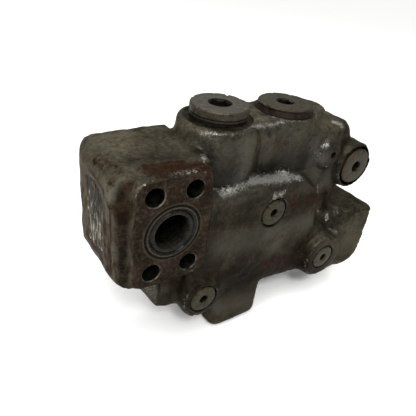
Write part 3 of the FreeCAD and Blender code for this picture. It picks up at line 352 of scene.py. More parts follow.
x, y, z = places.T / MM
on_front = ramp(-normals[:, 1], *FLUTE_FACING) * ramp(y, *FLUTE_BACK)
on_front *= ramp(z, *FLUTE_FOOT) * ramp(z, *FLUTE_HEAD)
flute = sum(tall * np.exp(-((x - middle) / wide) ** 2) for middle, wide, tall in FLUTES)
places[:, 1] -= flute * on_front * MM
for step in range(FLUTE_ROUNDS):
    places = places + FLUTE_EVENING * on_front[:, None] * pulled(places)
on_pad = (np.abs(x) < PAD_HALF[0]) & (np.abs(z) < PAD_HALF[1])
places[on_pad & (y < PAD_NEAR), 1] -= PAD_PROUD * MM
places[on_pad & (y > BLOCK_DEPTH - PAD_NEAR), 1] += PAD_PROUD * MM

# Wear and painted light: where the skin is knocked bare, rubbed grey, rusty, dusty, oily or streaked with
# dirt, with painted highlights, painted shade and painted light on the tops among these places. Each place is
# a line between two points with a radius and a strength. Edges that stand out are bare too, and the towers'
# front is rubbed grey in soft upright bands of painted light and shade, lighter where it stands out.
# Some bare places are painted highlights: the spot on the relief boss near (167, 10, -40), the spots on the
# ear near (136, 9, 34) and (157, 20, 46), and the line down the panel's right edge near x 150.
BARE_AND_HIGHLIGHT_PLACES = (
    ((44, 10, 12), (72, 15, 13), 5.5, 0.85), ((72, 15, 13), (104, 12, 13), 7, 1.0),
    ((104, 12, 13), (114, 8, 12), 5, 0.8), ((20, 6, 40), (34, 14, 36), 3, 0.3),
    ((66, 20, 54), (98, 21, 54), 3.5, 0.75), ((30, 24, 53), (38, 19, 53), 5, 0.5),
    ((26, 12, 40), (30, 16, 42), 4, 0.7), ((0, 3, 41), (14, 2, 41), 4, 0.45),
    ((88, 5, 4), (96, 5, 4), 5, 0.6), ((134, 10, 34), (138, 8, 35), 3, 0.8),
    ((155, 22, 47), (160, 18, 46), 4, 0.8), ((162, 8, -36), (178, 6, -35), 4, 0.4),
    ((186, -4, -34), (205, -4, -34), 3, 0.3), ((134, 12, 28), (141, 14, 22), 7, 0.35),
    ((166, 11, -38), (168, 10, -43), 3.6, 0.7), ((147.5, 14, -5), (155, 12, -33), 1.8, 0.6),
    ((-6, 18, -60), (2, 20, -68), 7, 0.4), ((66, 27, 55), (100, 31, 55), 5, 0.5))
# The upright lines on the towers' front spread the rubbed grey that carries the painted light bands.
RUBBED_PLACES = (
    ((40, 4, -28), (92, 4, -34), 13, 0.6), ((92, 4, -34), (136, 4, -34), 10, 1.0),
    ((36, 18, 50), (36, 16, 20), 14, 1.0), ((55, 12, 50), (55, 12, 18), 14, 1.0),
    ((72, 16, 50), (72, 16, 16), 13, 1.0), ((90, 20, 50), (90, 20, 16), 14, 1.0),
    ((106, 17, 50), (106, 17, 16), 13, 1.0), ((122, 14, 48), (122, 14, 10), 13, 1.0),
    ((138, 12, 34), (140, 14, 6), 11, 1.0), ((50, 6, -92), (92, 4, -100), 14, 0.8),
    ((150, 14, 10), (156, 12, -10), 10, 0.6), ((160, -5, -62), (205, -5, -70), 15, 0.7),
    ((100, 4, -50), (124, 4, -44), 11, 1.0), ((66, 30, 55), (100, 34, 55), 12, 0.7),
    ((-6, 18, -58), (2, 20, -72), 9, 1.0))
RUSTY_PLACES = (
    ((-10, 10, 42), (20, 6, 41), 8, 1.0), ((14, 2, 40), (24, 6, 40), 6, 0.7),
    ((150, 6, 0), (158, 6, -8), 7, 0.4), ((-30, 8, 38), (-34, 40, 40), 9, 0.4),
    ((108, 4.5, -6), (146, 4.5, -12), 9, 0.4), ((96, 4, -62), (134, 2, -72), 11, 0.35),
    ((-36, 4, 20), (-38, 30, -30), 16, 0.3))
DUSTY_PLACES = (((185, -5, -45), (205, -5, -60), 18, 0.3), ((-36, 20, 38), (-24, 60, 42), 16, 1.0),
                ((-20, 44, 42), (-8, 70, 42), 16, 1.0), ((40, 34, 56), (150, 34, 56), 28, 0.9))
# Some oily places are painted shade: the wide bands low across the panel and at its right end, and the dark
# pocket at the panel's right edge near (160, 14, -22).
OILY_AND_SHADED_PLACES = (
    ((25, 4, -62), (150, 0, -84), 22, 1.0), ((12, 20, -78), (24, 20, -70), 12, 0.6),
    ((30, 6, -10), (30, 6, -48), 9, 0.8), ((158, 14, -14), (163, 13, -30), 6, 1.0),
    ((104, 4.5, -8), (134, 4.5, -11), 6, 1.0), ((120, 4, -50), (138, 3, -62), 12, 0.8),
    ((-33, 5, 36), (-32, 4, -42), 6, 1.3), ((-5, 22, 42), (25, 24, 42), 14, 0.3),
    ((40, 5, -2), (60, 5, -10), 12, 0.5), ((176, -2, -30), (205, 10, -29), 9, 0.7),
    ((-38, 20, 28), (-38, 20, -20), 1.6, 1.6), ((-38, 20, 28), (-38, 40, 31), 1.6, 1.6),
    ((104, 4, -62), (150, -2, -82), 9, 1.0), ((160, 16, 32), (172, 14, 24), 9, 0.6),
    ((137, 2, -74), (137, 2, -74.5), 2.5, 1.5))
STREAKED_PLACES = (((-36, 8, 30), (-36, 8, -40), 18, 1.0), ((-30, 2, 34), (-30, 2, -42), 8, 0.6),
                   ((-38, 60, 20), (-38, 60, -40), 30, 0.8))
# Painted light and shade down the towers' front: upright bands lighter or darker, each (x, width, tone).
LIGHT_BANDS = ((43, 7, -0.55), (64, 7, 0.4), (104, 8, -0.45), (121, 5, -0.35), (134, 8, 0.35))
BAND_GROUND = 0.15
BAND_FOOT_Z = 14
PANEL_TONE = 0.7
FADED = 1.3
FULL = 0.3


def near_lines(lines):
    """How near each vertex lies to the lines: their strength close by, and fading out past their radius."""
    most = np.zeros(count)
    for start, end, reach, strength in lines:
        start, end = np.array(start) * MM, np.array(end) * MM
        along = np.clip((places - start) @ (end - start) / np.sum((end - start) ** 2), 0, 1)
        away = np.linalg.norm(places - start - along[:, None] * (end - start), axis=1)
        most = np.maximum(most, strength * ramp(away, FADED * reach * MM, FULL * reach * MM))
    return most


# A hollow or an edge shows as the bend of the skin, evened out over a few neighbours.
BEND_ROUNDS = 4
BEND_EVENING = 0.6
BEND_FULL = 0.10 * MM
FACING_UP = (0.3125, 0.9375)
# Up-facing tops are lightened: dust, and painted light from above.
DUST_AND_LIGHT_ON_TOPS = 0.4
BARE_ON_EDGES = 0.5
normals = outward(places)
bend = np.sum(pulled(places) * normals, axis=1)
for step in range(BEND_ROUNDS):
    bend = bend + BEND_EVENING * pulled(np.repeat(bend[:, None], 3, axis=1))[:, 0]
stands_out = ramp(-bend, 0.25 * BEND_FULL, 1.25 * BEND_FULL)
lit_dusty_tops = DUST_AND_LIGHT_ON_TOPS * ramp(normals[:, 2], *FACING_UP)
bands = BAND_GROUND + sum(tone * np.exp(-((x - middle) / wide) ** 2) for middle, wide, tone in LIGHT_BANDS)
wear = {"bare_and_highlights": np.maximum(near_lines(BARE_AND_HIGHLIGHT_PLACES), BARE_ON_EDGES * stands_out),
        "rubbed": near_lines(RUBBED_PLACES), "light_bands": np.where(z > BAND_FOOT_Z, bands, PANEL_TONE),
        "dusty_and_top_lit": np.maximum(lit_dusty_tops, near_lines(DUSTY_PLACES)), "oily_and_shaded": near_lines(OILY_AND_SHADED_PLACES),
        "rusty": near_lines(RUSTY_PLACES), "streaked": near_lines(STREAKED_PLACES),
        "hollow": ramp(bend, 0, BEND_FULL)}
for mark, amounts in wear.items():
    casting.data.attributes.new(mark, "FLOAT", "POINT").data.foreach_set("value", amounts.astype(np.float32))

# A patch of the panel came rough from the mould, and knocks have chipped the edges that stand out.
ROUGH_PATCH = (((64, 4.5, -58), (86, 4.5, -55), 9, 0.45), ((68, 4.5, -66), (84, 4.5, -64), 6, 0.35))
ROUGH_GRAIN = (3.4, 0.1)
ROUGH_HEIGHT = 2.2
CHIP_GRAIN = (5.0, -0.12)
CHIP_DEPTH = 3.3


def grained(size, raised):
    """Bumps of this size at each vertex: noise raised by a share, with nothing below the skin."""
    return np.array([max(0, noise.noise(Vector(p) / (size * MM)) + raised) for p in places])


rough = ROUGH_HEIGHT * near_lines(ROUGH_PATCH) * grained(*ROUGH_GRAIN)
chips = CHIP_DEPTH * stands_out * grained(*CHIP_GRAIN)
places = places + (rough - chips)[:, None] * MM * normals
lumps = np.array([sum(tall * noise.noise(Vector(p) / (wide * MM)) for tall, wide in LUMPS) for p in places])
places = places + lumps[:, None] * MM * normals
outward(places)

# Machining: flange faces, ports, bolt holes, spot faces and plug mouths are cut crisp into the cast skin.
iron_cast, iron_cut, iron_bore, iron_edge = [new_material(name)[0] for name in (
    "cast_grey_iron", "machined_grey_iron", "oily_shaded_bored_iron", "rubbed_highlit_iron_edge")]
casting.data.materials.append(iron_cast)
HOUSING_SHARP = math.radians(38)
OVERCUT = 3.0
EDGE_BREAK = 0.7


def slab(low, high):
    """A cutter for a milled face, from its lowest to its highest corner in millimetres."""
    mesh = bmesh.new()
    bmesh.ops.create_cube(mesh, size=1)
    low, high = Vector(low), Vector(high)
    bmesh.ops.scale(mesh, verts=mesh.verts, vec=(high - low) * MM)
    bmesh.ops.translate(mesh, verts=mesh.verts, vec=(low + high) / 2 * MM)
    return new_object("cutter", mesh)


def mouth(r, edge=EDGE_BREAK):
    """The start of a bore's outline: clear of the face, then a broken edge."""
    return [(0, -OVERCUT), (r + edge + OVERCUT, -OVERCUT), (r, edge)]


def stepped(*steps):
    """Outline of a bore drilled in steps, each a (radius, depth) from the spot face down."""
    outline = [(0, -steps[-1][1])]
    for (r, depth), above in zip(reversed(steps), [step[1] for step in reversed(steps[:-1])] + [-OVERCUT]):
        outline += [(r, -depth), (r, -above)]
    return outline + [(0, OVERCUT)]


# The vertical bores are drilled down past the poppet, the spool and the pilot piston, and the relief bore
# runs back past the cone's seat.
MILLED = 9
PAD_REACH = (33, 45)
SLEEVE_EDGE = 0.9
SPOT_CLEAR = 8
MAIN_BORE = ((18.05, 18), (15.3, 77))
SPOOL_BORE = ((18.05, 18), (15.0, 47), (9.3, 105), (6.3, 124))
RELIEF_THREAD = (13.55, 24)
RELIEF_BORE = (8.4, 54)
GALLERY_SEAT = 3
GALLERY_THREAD = (9.05, 15)
SCREW_DEPTH = 14
half_x, half_z = PAD_REACH
relief_sunk = RELIEF_SEAT_Y - RELIEF_FRONT_Y
port = [(PORT_R, PORT_LENGTH), (PORT_CHAMBER_R, PORT_LENGTH), (PORT_CHAMBER_R, PORT_DEPTH), (0, PORT_DEPTH)]
sleeve_port = mouth(SLEEVE_SEAT[0], SLEEVE_EDGE) + [SLEEVE_SEAT, (PORT_R, SLEEVE_SEAT[1])] + port
relief_mouth = mouth(RELIEF_MOUTH_R) + [
    (RELIEF_MOUTH_R, relief_sunk), (RELIEF_THREAD[0], relief_sunk), RELIEF_THREAD, (0, RELIEF_THREAD[1])]
bores = [(sleeve_port, (0, 0, 0), BACK, iron_bore),
         (mouth(PORT_R) + port, (0, BLOCK_DEPTH, 0), FRONT, iron_bore)]
for top, steps in (((main_x, bore_y, SPOT_Z), MAIN_BORE), ((spool_x, bore_y, SPOT_Z), SPOOL_BORE)):
    bores += [(rod(SPOT_R, 0, SPOT_CLEAR), top, UP, iron_cast), (stepped(*steps), top, UP, iron_bore)]
bores += [(rod(RELIEF_BORE[0], 0, RELIEF_BORE[1]), relief_front, BACK, iron_bore),
          (relief_mouth, relief_front, BACK, iron_bore)]
for hole in bolt_holes:
    bores += [(mouth(BOLT_R) + [(0, EDGE_BREAK)], hole, BACK, iron_edge),
              (rod(BOLT_R, -OVERCUT, BLOCK_DEPTH + OVERCUT), hole, BACK, iron_bore)]
for front in gallery_fronts:
    seat = [(GALLERY_SPOT_R, GALLERY_SEAT), (GALLERY_THREAD[0], GALLERY_SEAT), GALLERY_THREAD,
            (0, GALLERY_THREAD[1])]
    bores.append((mouth(GALLERY_SPOT_R) + seat, front, BACK, iron_bore))
cutters = [(slab((-half_x, -MILLED, -half_z), (half_x, 0, half_z)), iron_cut),
           (slab((-half_x, BLOCK_DEPTH, -half_z), (half_x, BLOCK_DEPTH + MILLED, half_z)), iron_cut),
           (turned("cutter", rod(SCREW_R, -OVERCUT, SCREW_DEPTH), SCREW_FRONT, BACK, 32), iron_bore)]
cutters += [(turned("cutter", outline, foot, way), finish) for outline, foot, way, finish in bores]
for cutter, finish in cutters:
    cutter.data.materials.append(finish)
    cutter.hide_render = True
    cut = casting.modifiers.new("cut", "BOOLEAN")
    cut.object = cutter
    cut.solver = "MANIFOLD"
    cut.material_mode = "TRANSFER"
baked(casting)
for cutter, _ in cutters:
    drop(cutter)
casting.data.shade_smooth()
casting.data.set_sharp_from_angle(angle=HOUSING_SHARP)
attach(casting, "housing")
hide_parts("valve_body")

# Cast grey iron that has gone dark: an oxide skin soaked in oil, olive to brown, so it takes its colour into
# its own shine. Vertical runs of oil darken it, rust shows brown, and knocked edges show specks of bare grey
# iron. Sand grains are 0.3 mm, too fine for the picture, so the grain is drawn 1.3 mm across.
PATCH_MM = 30
MOTTLE_MM = 9
FLECK_MM = 3
GRAIN_MM = 1.3
RUN_MM = 7
RUN_STRETCH = 0.3
STREAK_MM = 5
STREAK_STRETCH = 0.22
PIT_MM = 2.6
SPECK_MM = 1.7
tree = iron_cast.node_tree
place = add(tree, "TexCoord", output="Object")
marks = {mark: add(tree, "Attribute", output="Fac", attribute_name=mark) for mark in wear}
run_place = add(tree, "Mapping", {"Vector": place, "Scale": (1, 1, RUN_STRETCH)})
streak_place = add(tree, "Mapping", {"Vector": place, "Scale": (1, 1, STREAK_STRETCH)})
patch, mottle, fleck, grain, runs, streaks, specks = [
    add(tree, "TexNoise", {"Vector": where, "Scale": 1 / (across * MM), "Detail": detail,
                           "Roughness": roughness, "Distortion": distortion})
    for where, across, detail, roughness, distortion in (
        (place, PATCH_MM, 5, 0.62, 0), (place, MOTTLE_MM, 7, 0.7, 0), (place, FLECK_MM, 5, 0.7, 0),
        (place, GRAIN_MM, 3, 0.6, 0), (run_place, RUN_MM, 5, 0.62, 0),
        (streak_place, STREAK_MM, 6, 0.62, 0.6), (place, SPECK_MM, 5, 0.8, 0))]
tone = add(tree, "Mix", {0: 0.5, 2: mottle, 3: fleck})
cloudy = add(tree, "Mix", {0: 0.4, 2: tone, 3: patch})
skin = add(tree, "ValToRGB", {"Fac": cloudy},
           stops=((0.42, "#100e09"), (0.50, "#242219"), (0.57, "#3f3d33")))
tint = add(tree, "ValToRGB", {"Fac": patch},
           stops=((0.40, "#24241f"), (0.50, "#292720"), (0.60, "#30261c")))
skin = add(tree, "Mix", {0: 0.35, 6: skin, 7: tint}, 2, data_type="RGBA")

# Each layer of wear or painted light and shade covers the ones before it: how much of it lies where, then its
# colour.
running = add(tree, "ValToRGB", {"Fac": runs}, stops=((0.48, 0.0), (0.66, 0.4)))
streaks = add(tree, "ValToRGB", {"Fac": streaks},
              stops=((0.38, "#17120c"), (0.47, "#32281e"), (0.52, "#453d31"), (0.60, "#504f47")))
thin_spots = add(tree, "ValToRGB", {"Fac": mottle}, stops=((0.36, 0.7), (0.56, 1.0)))
rubbed = add(tree, "Math", {0: marks["rubbed"], 1: thin_spots}, operation="MULTIPLY")
# The rubbed grey is made lighter and darker in the upright bands: painted light and shade.
light_bands = add(tree, "Math", {0: tone, 1: 0.9, 2: marks["light_bands"]}, operation="MULTIPLY_ADD")
rubbed_grey_in_light_bands = add(tree, "ValToRGB", {"Fac": light_bands}, stops=((0.45, "#232220"), (1.0, "#403f3a")))
settled = add(tree, "ValToRGB", {"Fac": tone}, stops=((0.38, 0.15), (0.60, 0.9)))
# Dust and painted top light: the up-facing skin and the dusty places are lightened.
dust_and_top_light = add(tree, "Math", {0: marks["dusty_and_top_lit"], 1: settled}, operation="MULTIPLY")
soaked = add(tree, "ValToRGB", {"Fac": mottle}, stops=((0.36, 0.95), (0.62, 0.55)))
# Oil and painted shade: dark oil stains, and painted shade low on the panel and in the pocket.
oil_and_shade = add(tree, "Math", {0: marks["oily_and_shaded"], 1: soaked}, operation="MULTIPLY")
rust = add(tree, "Math", {0: marks["rusty"], 1: 0.42, 2: mottle}, operation="MULTIPLY_ADD")
rust = add(tree, "ValToRGB", {"Fac": rust}, stops=((0.60, 0.0), (0.74, 1.0)))
rust_colour = add(tree, "ValToRGB", {"Fac": fleck}, stops=((0.36, "#1a110a"), (0.64, "#34241a")))
# Hollows darkened: painted shade in the creases.
hollow_shade = add(tree, "Math", {0: marks["hollow"], 1: 0.6}, operation="MULTIPLY")
# Specks of bare grey iron, and painted highlights at the listed spots.
bare_and_highlights = add(tree, "Math", {0: marks["bare_and_highlights"], 1: 0.36, 2: specks}, operation="MULTIPLY_ADD")
bare_and_highlights = add(tree, "ValToRGB", {"Fac": bare_and_highlights}, stops=((0.66, 0.0), (0.86, 0.9)))
for cover, colour in ((running, "#14110a"), (marks["streaked"], streaks), (rubbed, rubbed_grey_in_light_bands),
                      (dust_and_top_light, "#5b5749"), (oil_and_shade, "#120e08"), (rust, rust_colour), (hollow_shade, "#0d0a05"),
                      (bare_and_highlights, "#9c9b94")):
    skin = add(tree, "Mix", {0: cover, 6: skin, 7: colour}, 2, data_type="RGBA")

shine = add(tree, "ValToRGB", {"Fac": tone}, stops=((0.38, 0.30), (0.62, 0.50)))
shine = add(tree, "Math", {0: rust, 1: 0.2, 2: shine}, operation="MULTIPLY_ADD")
shine = add(tree, "Math", {0: rubbed, 1: -0.08, 2: shine}, operation="MULTIPLY_ADD")
metal = add(tree, "Math", {0: rubbed, 1: 0.3, 2: 0.45}, operation="MULTIPLY_ADD")
metal = add(tree, "Mix", {0: bare_and_highlights, 2: metal, 3: 0.55})
pits = add(tree, "TexVoronoi", {"Vector": place, "Scale": 1 / (PIT_MM * MM)}, feature="SMOOTH_F1")
pits = add(tree, "ValToRGB", {"Fac": pits}, stops=((0.0, 0.0), (0.42, 0.35)))
relief = add(tree, "Math", {0: grain, 1: 0.8, 2: pits}, operation="MULTIPLY_ADD")
bump = add(tree, "Bump", {"Height": relief, "Strength": 0.6, "Distance": 0.35 * MM})
shader = add(tree, "BsdfPrincipled", {
    "Base Color": skin, "Metallic": metal, "Roughness": shine, "Specular IOR Level": 0.05,
    "Specular Tint": "#b3a892", "Normal": bump})
add(tree, "OutputMaterial", {"Surface": shader})

# Machined grey iron: milled faces, flat and even, gone brown with dark stains. The hose's flange and its seal
# have rubbed a dark grey ring round the port.
RING_EDGE = (22.4, 21.0)
RING_UNEVEN = 2.5
# Thin circles on the flat face round the port: the painted shadow of a seal groove's edge at 19.6 mm and
# painted rim highlights at 18.1 and 21.0 mm.
PAINTED_RING_LINES = ((18.1, 0.5, "#45433d"), (19.6, 0.7, "#060504"), (21.0, 0.5, "#3b362d"))
STAIN_MM = 15
CUT_SPECK_MM = 2.4
tree = iron_cut.node_tree
place = add(tree, "TexCoord", output="Object")
stain, speck = [
    add(tree, "TexNoise", {"Vector": place, "Scale": 1 / (across * MM), "Detail": detail, "Roughness": 0.7})
    for across, detail in ((STAIN_MM, 7), (CUT_SPECK_MM, 5))]
brown = add(tree, "Mix", {0: 0.4, 2: stain, 3: speck})
brown = add(tree, "ValToRGB", {"Fac": brown},
            stops=((0.38, "#130f0b"), (0.50, "#261f18"), (0.62, "#3c342b")))
fine = add(tree, "ValToRGB", {"Fac": speck}, stops=((0.54, 0.0), (0.72, 0.4)))
brown = add(tree, "Mix", {0: fine, 6: brown, 7: "#4a453b"}, 2, data_type="RGBA")
flat_place = add(tree, "VectorMath", {0: place, 1: (1, 0, 1)}, operation="MULTIPLY")
from_port = add(tree, "VectorMath", {0: flat_place}, "Value", operation="LENGTH")
uneven = add(tree, "Math", {0: speck, 1: RING_UNEVEN * MM, 2: from_port}, operation="MULTIPLY_ADD")
in_ring = add(tree, "MapRange", {0: uneven, 1: RING_EDGE[0] * MM, 2: RING_EDGE[1] * MM})
in_ring = add(tree, "Math", {0: in_ring, 1: 0.85}, operation="MULTIPLY")
brown = add(tree, "Mix", {0: in_ring, 6: brown, 7: "#1c1b18"}, 2, data_type="RGBA")
faint = add(tree, "ValToRGB", {"Fac": speck}, stops=((0.40, 0.9), (0.60, 0.35)))
# The painted rim highlights and groove shadow, broken up by specks.
for radius, half_width, line_colour in PAINTED_RING_LINES:
    on_line = add(tree, "Math", {0: from_port, 1: radius * MM, 2: half_width * MM}, operation="COMPARE")
    on_line = add(tree, "Math", {0: on_line, 1: faint}, operation="MULTIPLY")
    brown = add(tree, "Mix", {0: on_line, 6: brown, 7: line_colour}, 2, data_type="RGBA")
shine = add(tree, "ValToRGB", {"Fac": stain}, stops=((0.3, 0.40), (0.7, 0.60)))
bump = add(tree, "Bump", {"Height": speck, "Strength": 0.4, "Distance": 0.15 * MM})
shader = add(tree, "BsdfPrincipled", {
    "Base Color": brown, "Metallic": 0.5, "Roughness": shine, "Specular IOR Level": 0.05,
    "Specular Tint": "#7d6c50", "Normal": bump})
add(tree, "OutputMaterial", {"Surface": shader})

# The thin broken edge round each bolt hole: screws have rubbed it to grey metal here and there, and its
# lighter colour also paints a highlight round the rims.
RUBBED_MM = 6
tree = iron_edge.node_tree
place = add(tree, "TexCoord", output="Object")
rubbing = add(tree, "TexNoise", {
    "Vector": place, "Scale": 1 / (RUBBED_MM * MM), "Detail": 4, "Roughness": 0.65})
edge_colour = add(tree, "ValToRGB", {"Fac": rubbing}, stops=((0.42, "#17130e"), (0.62, "#544e43")))
bump = add(tree, "Bump", {"Height": rubbing, "Strength": 0.3, "Distance": 0.1 * MM})
shader = add(tree, "BsdfPrincipled", {
    "Base Color": edge_colour, "Metallic": 0.5, "Roughness": 0.5, "Specular IOR Level": 0.1,
    "Normal": bump})
add(tree, "OutputMaterial", {"Surface": shader})

# Bored grey iron: inside the holes the iron is near black, an oil film and painted shade, and shines a
# little.
FILM_MM = 5
tree = iron_bore.node_tree
place = add(tree, "TexCoord", output="Object")
film = add(tree, "TexNoise", {"Vector": place, "Scale": 1 / (FILM_MM * MM), "Detail": 5, "Roughness": 0.65})
black = add(tree, "ValToRGB", {"Fac": film}, stops=((0.36, "#050504"), (0.64, "#14140f")))
shine = add(tree, "ValToRGB", {"Fac": film}, stops=((0.38, 0.18), (0.62, 0.5)))
bump = add(tree, "Bump", {"Height": film, "Strength": 0.3, "Distance": 0.2 * MM})
shader = add(tree, "BsdfPrincipled", {
    "Base Color": black, "Metallic": 0.3, "Roughness": shine, "Specular IOR Level": 0.25, "Normal": bump})
add(tree, "OutputMaterial", {"Surface": shader})


# The port's sleeve: a dark steel ring, turned and pressed into the mouth of the hose port. The hose's seal
# has worn its face, and oil keeps it near black with thin light edges.
SLEEVE = (12.5, 16.0, 7.5)


def new_steel(name, faces, stains, roughness, metallic=0.75, cloud_mm=7, dent_mm=1.1):
    """Used steel or brass: two face colours in clouds, stain and rubbed colour over them, and small dents."""
    material, tree = new_material(name)
    place = add(tree, "TexCoord", output="Object")
    cloud, dents = [
        add(tree, "TexNoise", {
            "Vector": place, "Scale": 1 / (across * MM), "Detail": detail, "Roughness": uneven})
        for across, detail, uneven in ((cloud_mm, 6, 0.68), (dent_mm, 4, 0.7))]
    face = add(tree, "ValToRGB", {"Fac": cloud}, stops=((0.36, faces[0]), (0.64, faces[1])))
    stained = add(tree, "Math", {0: dents, 1: 0.35, 2: cloud}, operation="MULTIPLY_ADD")
    stained = add(tree, "ValToRGB", {"Fac": stained}, stops=((0.66, 0.0), (0.80, 0.85)))
    rubbed = add(tree, "ValToRGB", {"Fac": dents}, stops=((0.60, 0.0), (0.74, 0.7)))
    for cover, colour in zip((stained, rubbed), stains):
        face = add(tree, "Mix", {0: cover, 6: face, 7: colour}, 2, data_type="RGBA")
    shine = add(tree, "ValToRGB", {"Fac": cloud}, stops=((0.3, roughness[0]), (0.7, roughness[1])))
    bump = add(tree, "Bump", {"Height": dents, "Strength": 0.5, "Distance": 0.18 * MM})
    shader = add(tree, "BsdfPrincipled", {
        "Base Color": face, "Metallic": metallic, "Roughness": shine, "Specular IOR Level": 0.1,
        "Normal": bump})
    add(tree, "OutputMaterial", {"Surface": shader})
    return material


BEVEL_ANGLE = math.radians(32)
SHARP_ANGLE = math.radians(50)


def finish_piece(piece, node, edge_mm=0.25):
    """Break the edges, then attach the piece to the housing and hide the imported node that it stands for."""
    edge = piece.modifiers.new("broken_edges", "BEVEL")
    edge.width = edge_mm * MM
    edge.segments = 2
    edge.limit_method = "ANGLE"
    edge.angle_limit = BEVEL_ANGLE
    baked(piece)
    piece.data.shade_smooth()
    piece.data.set_sharp_from_angle(angle=SHARP_ANGLE)
    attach(piece, "housing")
    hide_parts(node)


sleeve_steel = new_steel(
    "worn_sleeve_steel", ("#141210", "#24211d"), ("#2c2720", "#5a564e"), roughness=(0.42, 0.6),
    metallic=0.5)
inner, outer, length = SLEEVE
outline = [(inner, length), (inner, 1.2), (inner + 0.5, 0.25), (inner + 1.3, 0), (outer - 1.5, 0),
           (outer - 0.3, 0.9), (outer, 1.4), (outer, length)]
sleeve = turned("port_sleeve", outline, (0, 0, 0), BACK, 128)
sleeve.data.materials.append(sleeve_steel)
finish_piece(sleeve, "hose_port_sleeve", 0.1)


# The main plug: turned from bar, with a broached hexagon socket, closing the main poppet's bore. It stands
# proud on a spacer, so wrenches have dented and chipped its rim. Handling has rubbed its top to a grey olive
# shine.
MAIN_FOOT = 58.8
MAIN_COLLAR = (21.0, 5.7)
MAIN_STEP = (19.4, 0.5)
MAIN_SHANK = (18.0, 18.0)
MAIN_SPRING_ROOM = (10.5, 9.0)
MAIN_SOCKET = (14, 8)
RING_R = 1.3
SMALL_RING_R = 0.9
THREAD_PITCH = 2
THREAD_CUT = 0.9
DRILL_R = 0.42
DRILL_TIP = 0.22
SOCKET_CHAMFER = 1.6
RIM_FROM = 0.62
DENT_SIZES = ((3.5, 1.0), (1.4, 0.5))
DENT_OVER = 0.12
DENT_DOWN = 0.7
PLUG_STEPS = 144


def screwed(shank_r, shank_l, ring_r, groove_top=1.2):
    """The threaded shank's outline below the collar, from its end up: a ridge every 2 mm, then a groove."""
    ring_low = groove_top + 2.6 * ring_r
    ring_floor = shank_r - 1.9 * ring_r
    outline = [(shank_r - 1.2, -shank_l)]
    height = -shank_l + 1
    while height < -ring_low - THREAD_PITCH:
        outline += [(shank_r - THREAD_CUT, height), (shank_r, height + 0.9), (shank_r, height + 1.1)]
        height += THREAD_PITCH
    return outline + [(shank_r - 0.2, -ring_low), (ring_floor, -ring_low), (ring_floor, -groove_top),
                      (shank_r, -groove_top), (shank_r, 0)]


def socket_plug(name, outline, top, foot, axis, socket, metals, nicks, recess=None, side_from=1):
    """A turned plug with hexagon socket, drill point and dented rim; side_from is where its side starts."""
    across, depth = socket
    corner_r = across / 2 / math.cos(math.pi / 6)
    plug = turned(name, outline + [(0, top)], foot, axis, PLUG_STEPS)
    hexagon = bmesh.new()
    bmesh.ops.create_circle(hexagon, cap_ends=True, segments=6, radius=corner_r)
    raised = bmesh.ops.extrude_face_region(hexagon, geom=hexagon.faces[:])["geom"]
    tall = [part for part in raised if isinstance(part, bmesh.types.BMVert)]
    bmesh.ops.translate(hexagon, verts=tall, vec=(0, 0, depth + 2))
    bmesh.ops.recalc_face_normals(hexagon, faces=hexagon.faces)
    set_in = set_at(foot, axis) @ Matrix.Translation((0, 0, top - depth))
    bmesh.ops.transform(hexagon, matrix=set_in, verts=hexagon.verts)
    head = Vector(foot) + Vector(axis) * top
    chamfer = [(0, -SOCKET_CHAMFER), (corner_r + 0.5 - SOCKET_CHAMFER, -SOCKET_CHAMFER), (corner_r + 2.5, 2),
               (0, 2)]
    drill_r = across * DRILL_R
    drill = [(0, -depth - across * DRILL_TIP), (drill_r, -depth), (drill_r, 1 - depth), (0, 1 - depth)]
    tools = [new_object("cutter", hexagon), turned("cutter", chamfer, head, axis),
             turned("cutter", drill, head, axis)]
    if recess:
        room_r, room_l = recess
        end = Vector(foot) + Vector(axis) * outline[0][1]
        tools.append(turned("cutter", rod(room_r, -OVERCUT, room_l), end, axis))
    for tool in tools:
        tool.hide_render = True
        cut = plug.modifiers.new("cut", "BOOLEAN")
        cut.object = tool
        cut.solver = "MANIFOLD"
    for metal in metals:
        plug.data.materials.append(metal)
    baked(plug)
    for tool in tools:
        drop(tool)
    shape = bmesh.new()
    shape.from_mesh(plug.data)
    line, start = Vector(axis), Vector(foot) * MM
    for vert in shape.verts:
        height = (vert.co - start).dot(line)
        spoke = vert.co - start - line * height
        if height > side_from * MM and spoke.length > across * RIM_FROM * MM:
            dent = sum(tall * noise.noise(vert.co / (wide * MM)) for wide, tall in DENT_SIZES)
            vert.co -= (spoke.normalized() + DENT_DOWN * line) * max(0, dent - DENT_OVER) * nicks * MM
    for face in shape.faces:
        outside = face.calc_center_median() - start
        height = outside.dot(line)
        outside -= line * height
        if outside.length < across * 0.6 * MM and height < (top - 0.1) * MM:
            face.material_index = 2
        elif abs(face.normal.dot(line)) < 0.6:
            face.material_index = 1
    shape.to_mesh(plug.data)
    shape.free()
    return plug


# Rubbed steel on top, chipped and stained steel round the rim, and steel down in the socket painted black:
# oil and painted shade.
main_steel = new_steel(
    "rubbed_top_steel", ("#34332a", "#504e42"), ("#2f261b", "#8d8b80"), roughness=(0.40, 0.58),
    metallic=0.6, cloud_mm=5)
main_side = new_steel(
    "chipped_rim_steel", ("#2a261d", "#454034"), ("#1b130c", "#6f6b5e"), roughness=(0.42, 0.6),
    metallic=0.4, cloud_mm=5)
socket_steel = new_steel(
    "oily_shaded_socket_steel", ("#080705", "#15130f"), ("#1c1812", "#3a372f"), roughness=(0.35, 0.5),
    metallic=0.3)
collar_r, collar_h = MAIN_COLLAR
outline = screwed(*MAIN_SHANK, RING_R) + [
    (MAIN_STEP[0], 0), MAIN_STEP, (collar_r - 0.5, MAIN_STEP[1]), (collar_r, 1.0), (collar_r, 2.4),
    (collar_r, collar_h - 0.4), (collar_r - 0.7, collar_h + 0.4), (collar_r - 1.2, collar_h + 0.5)]
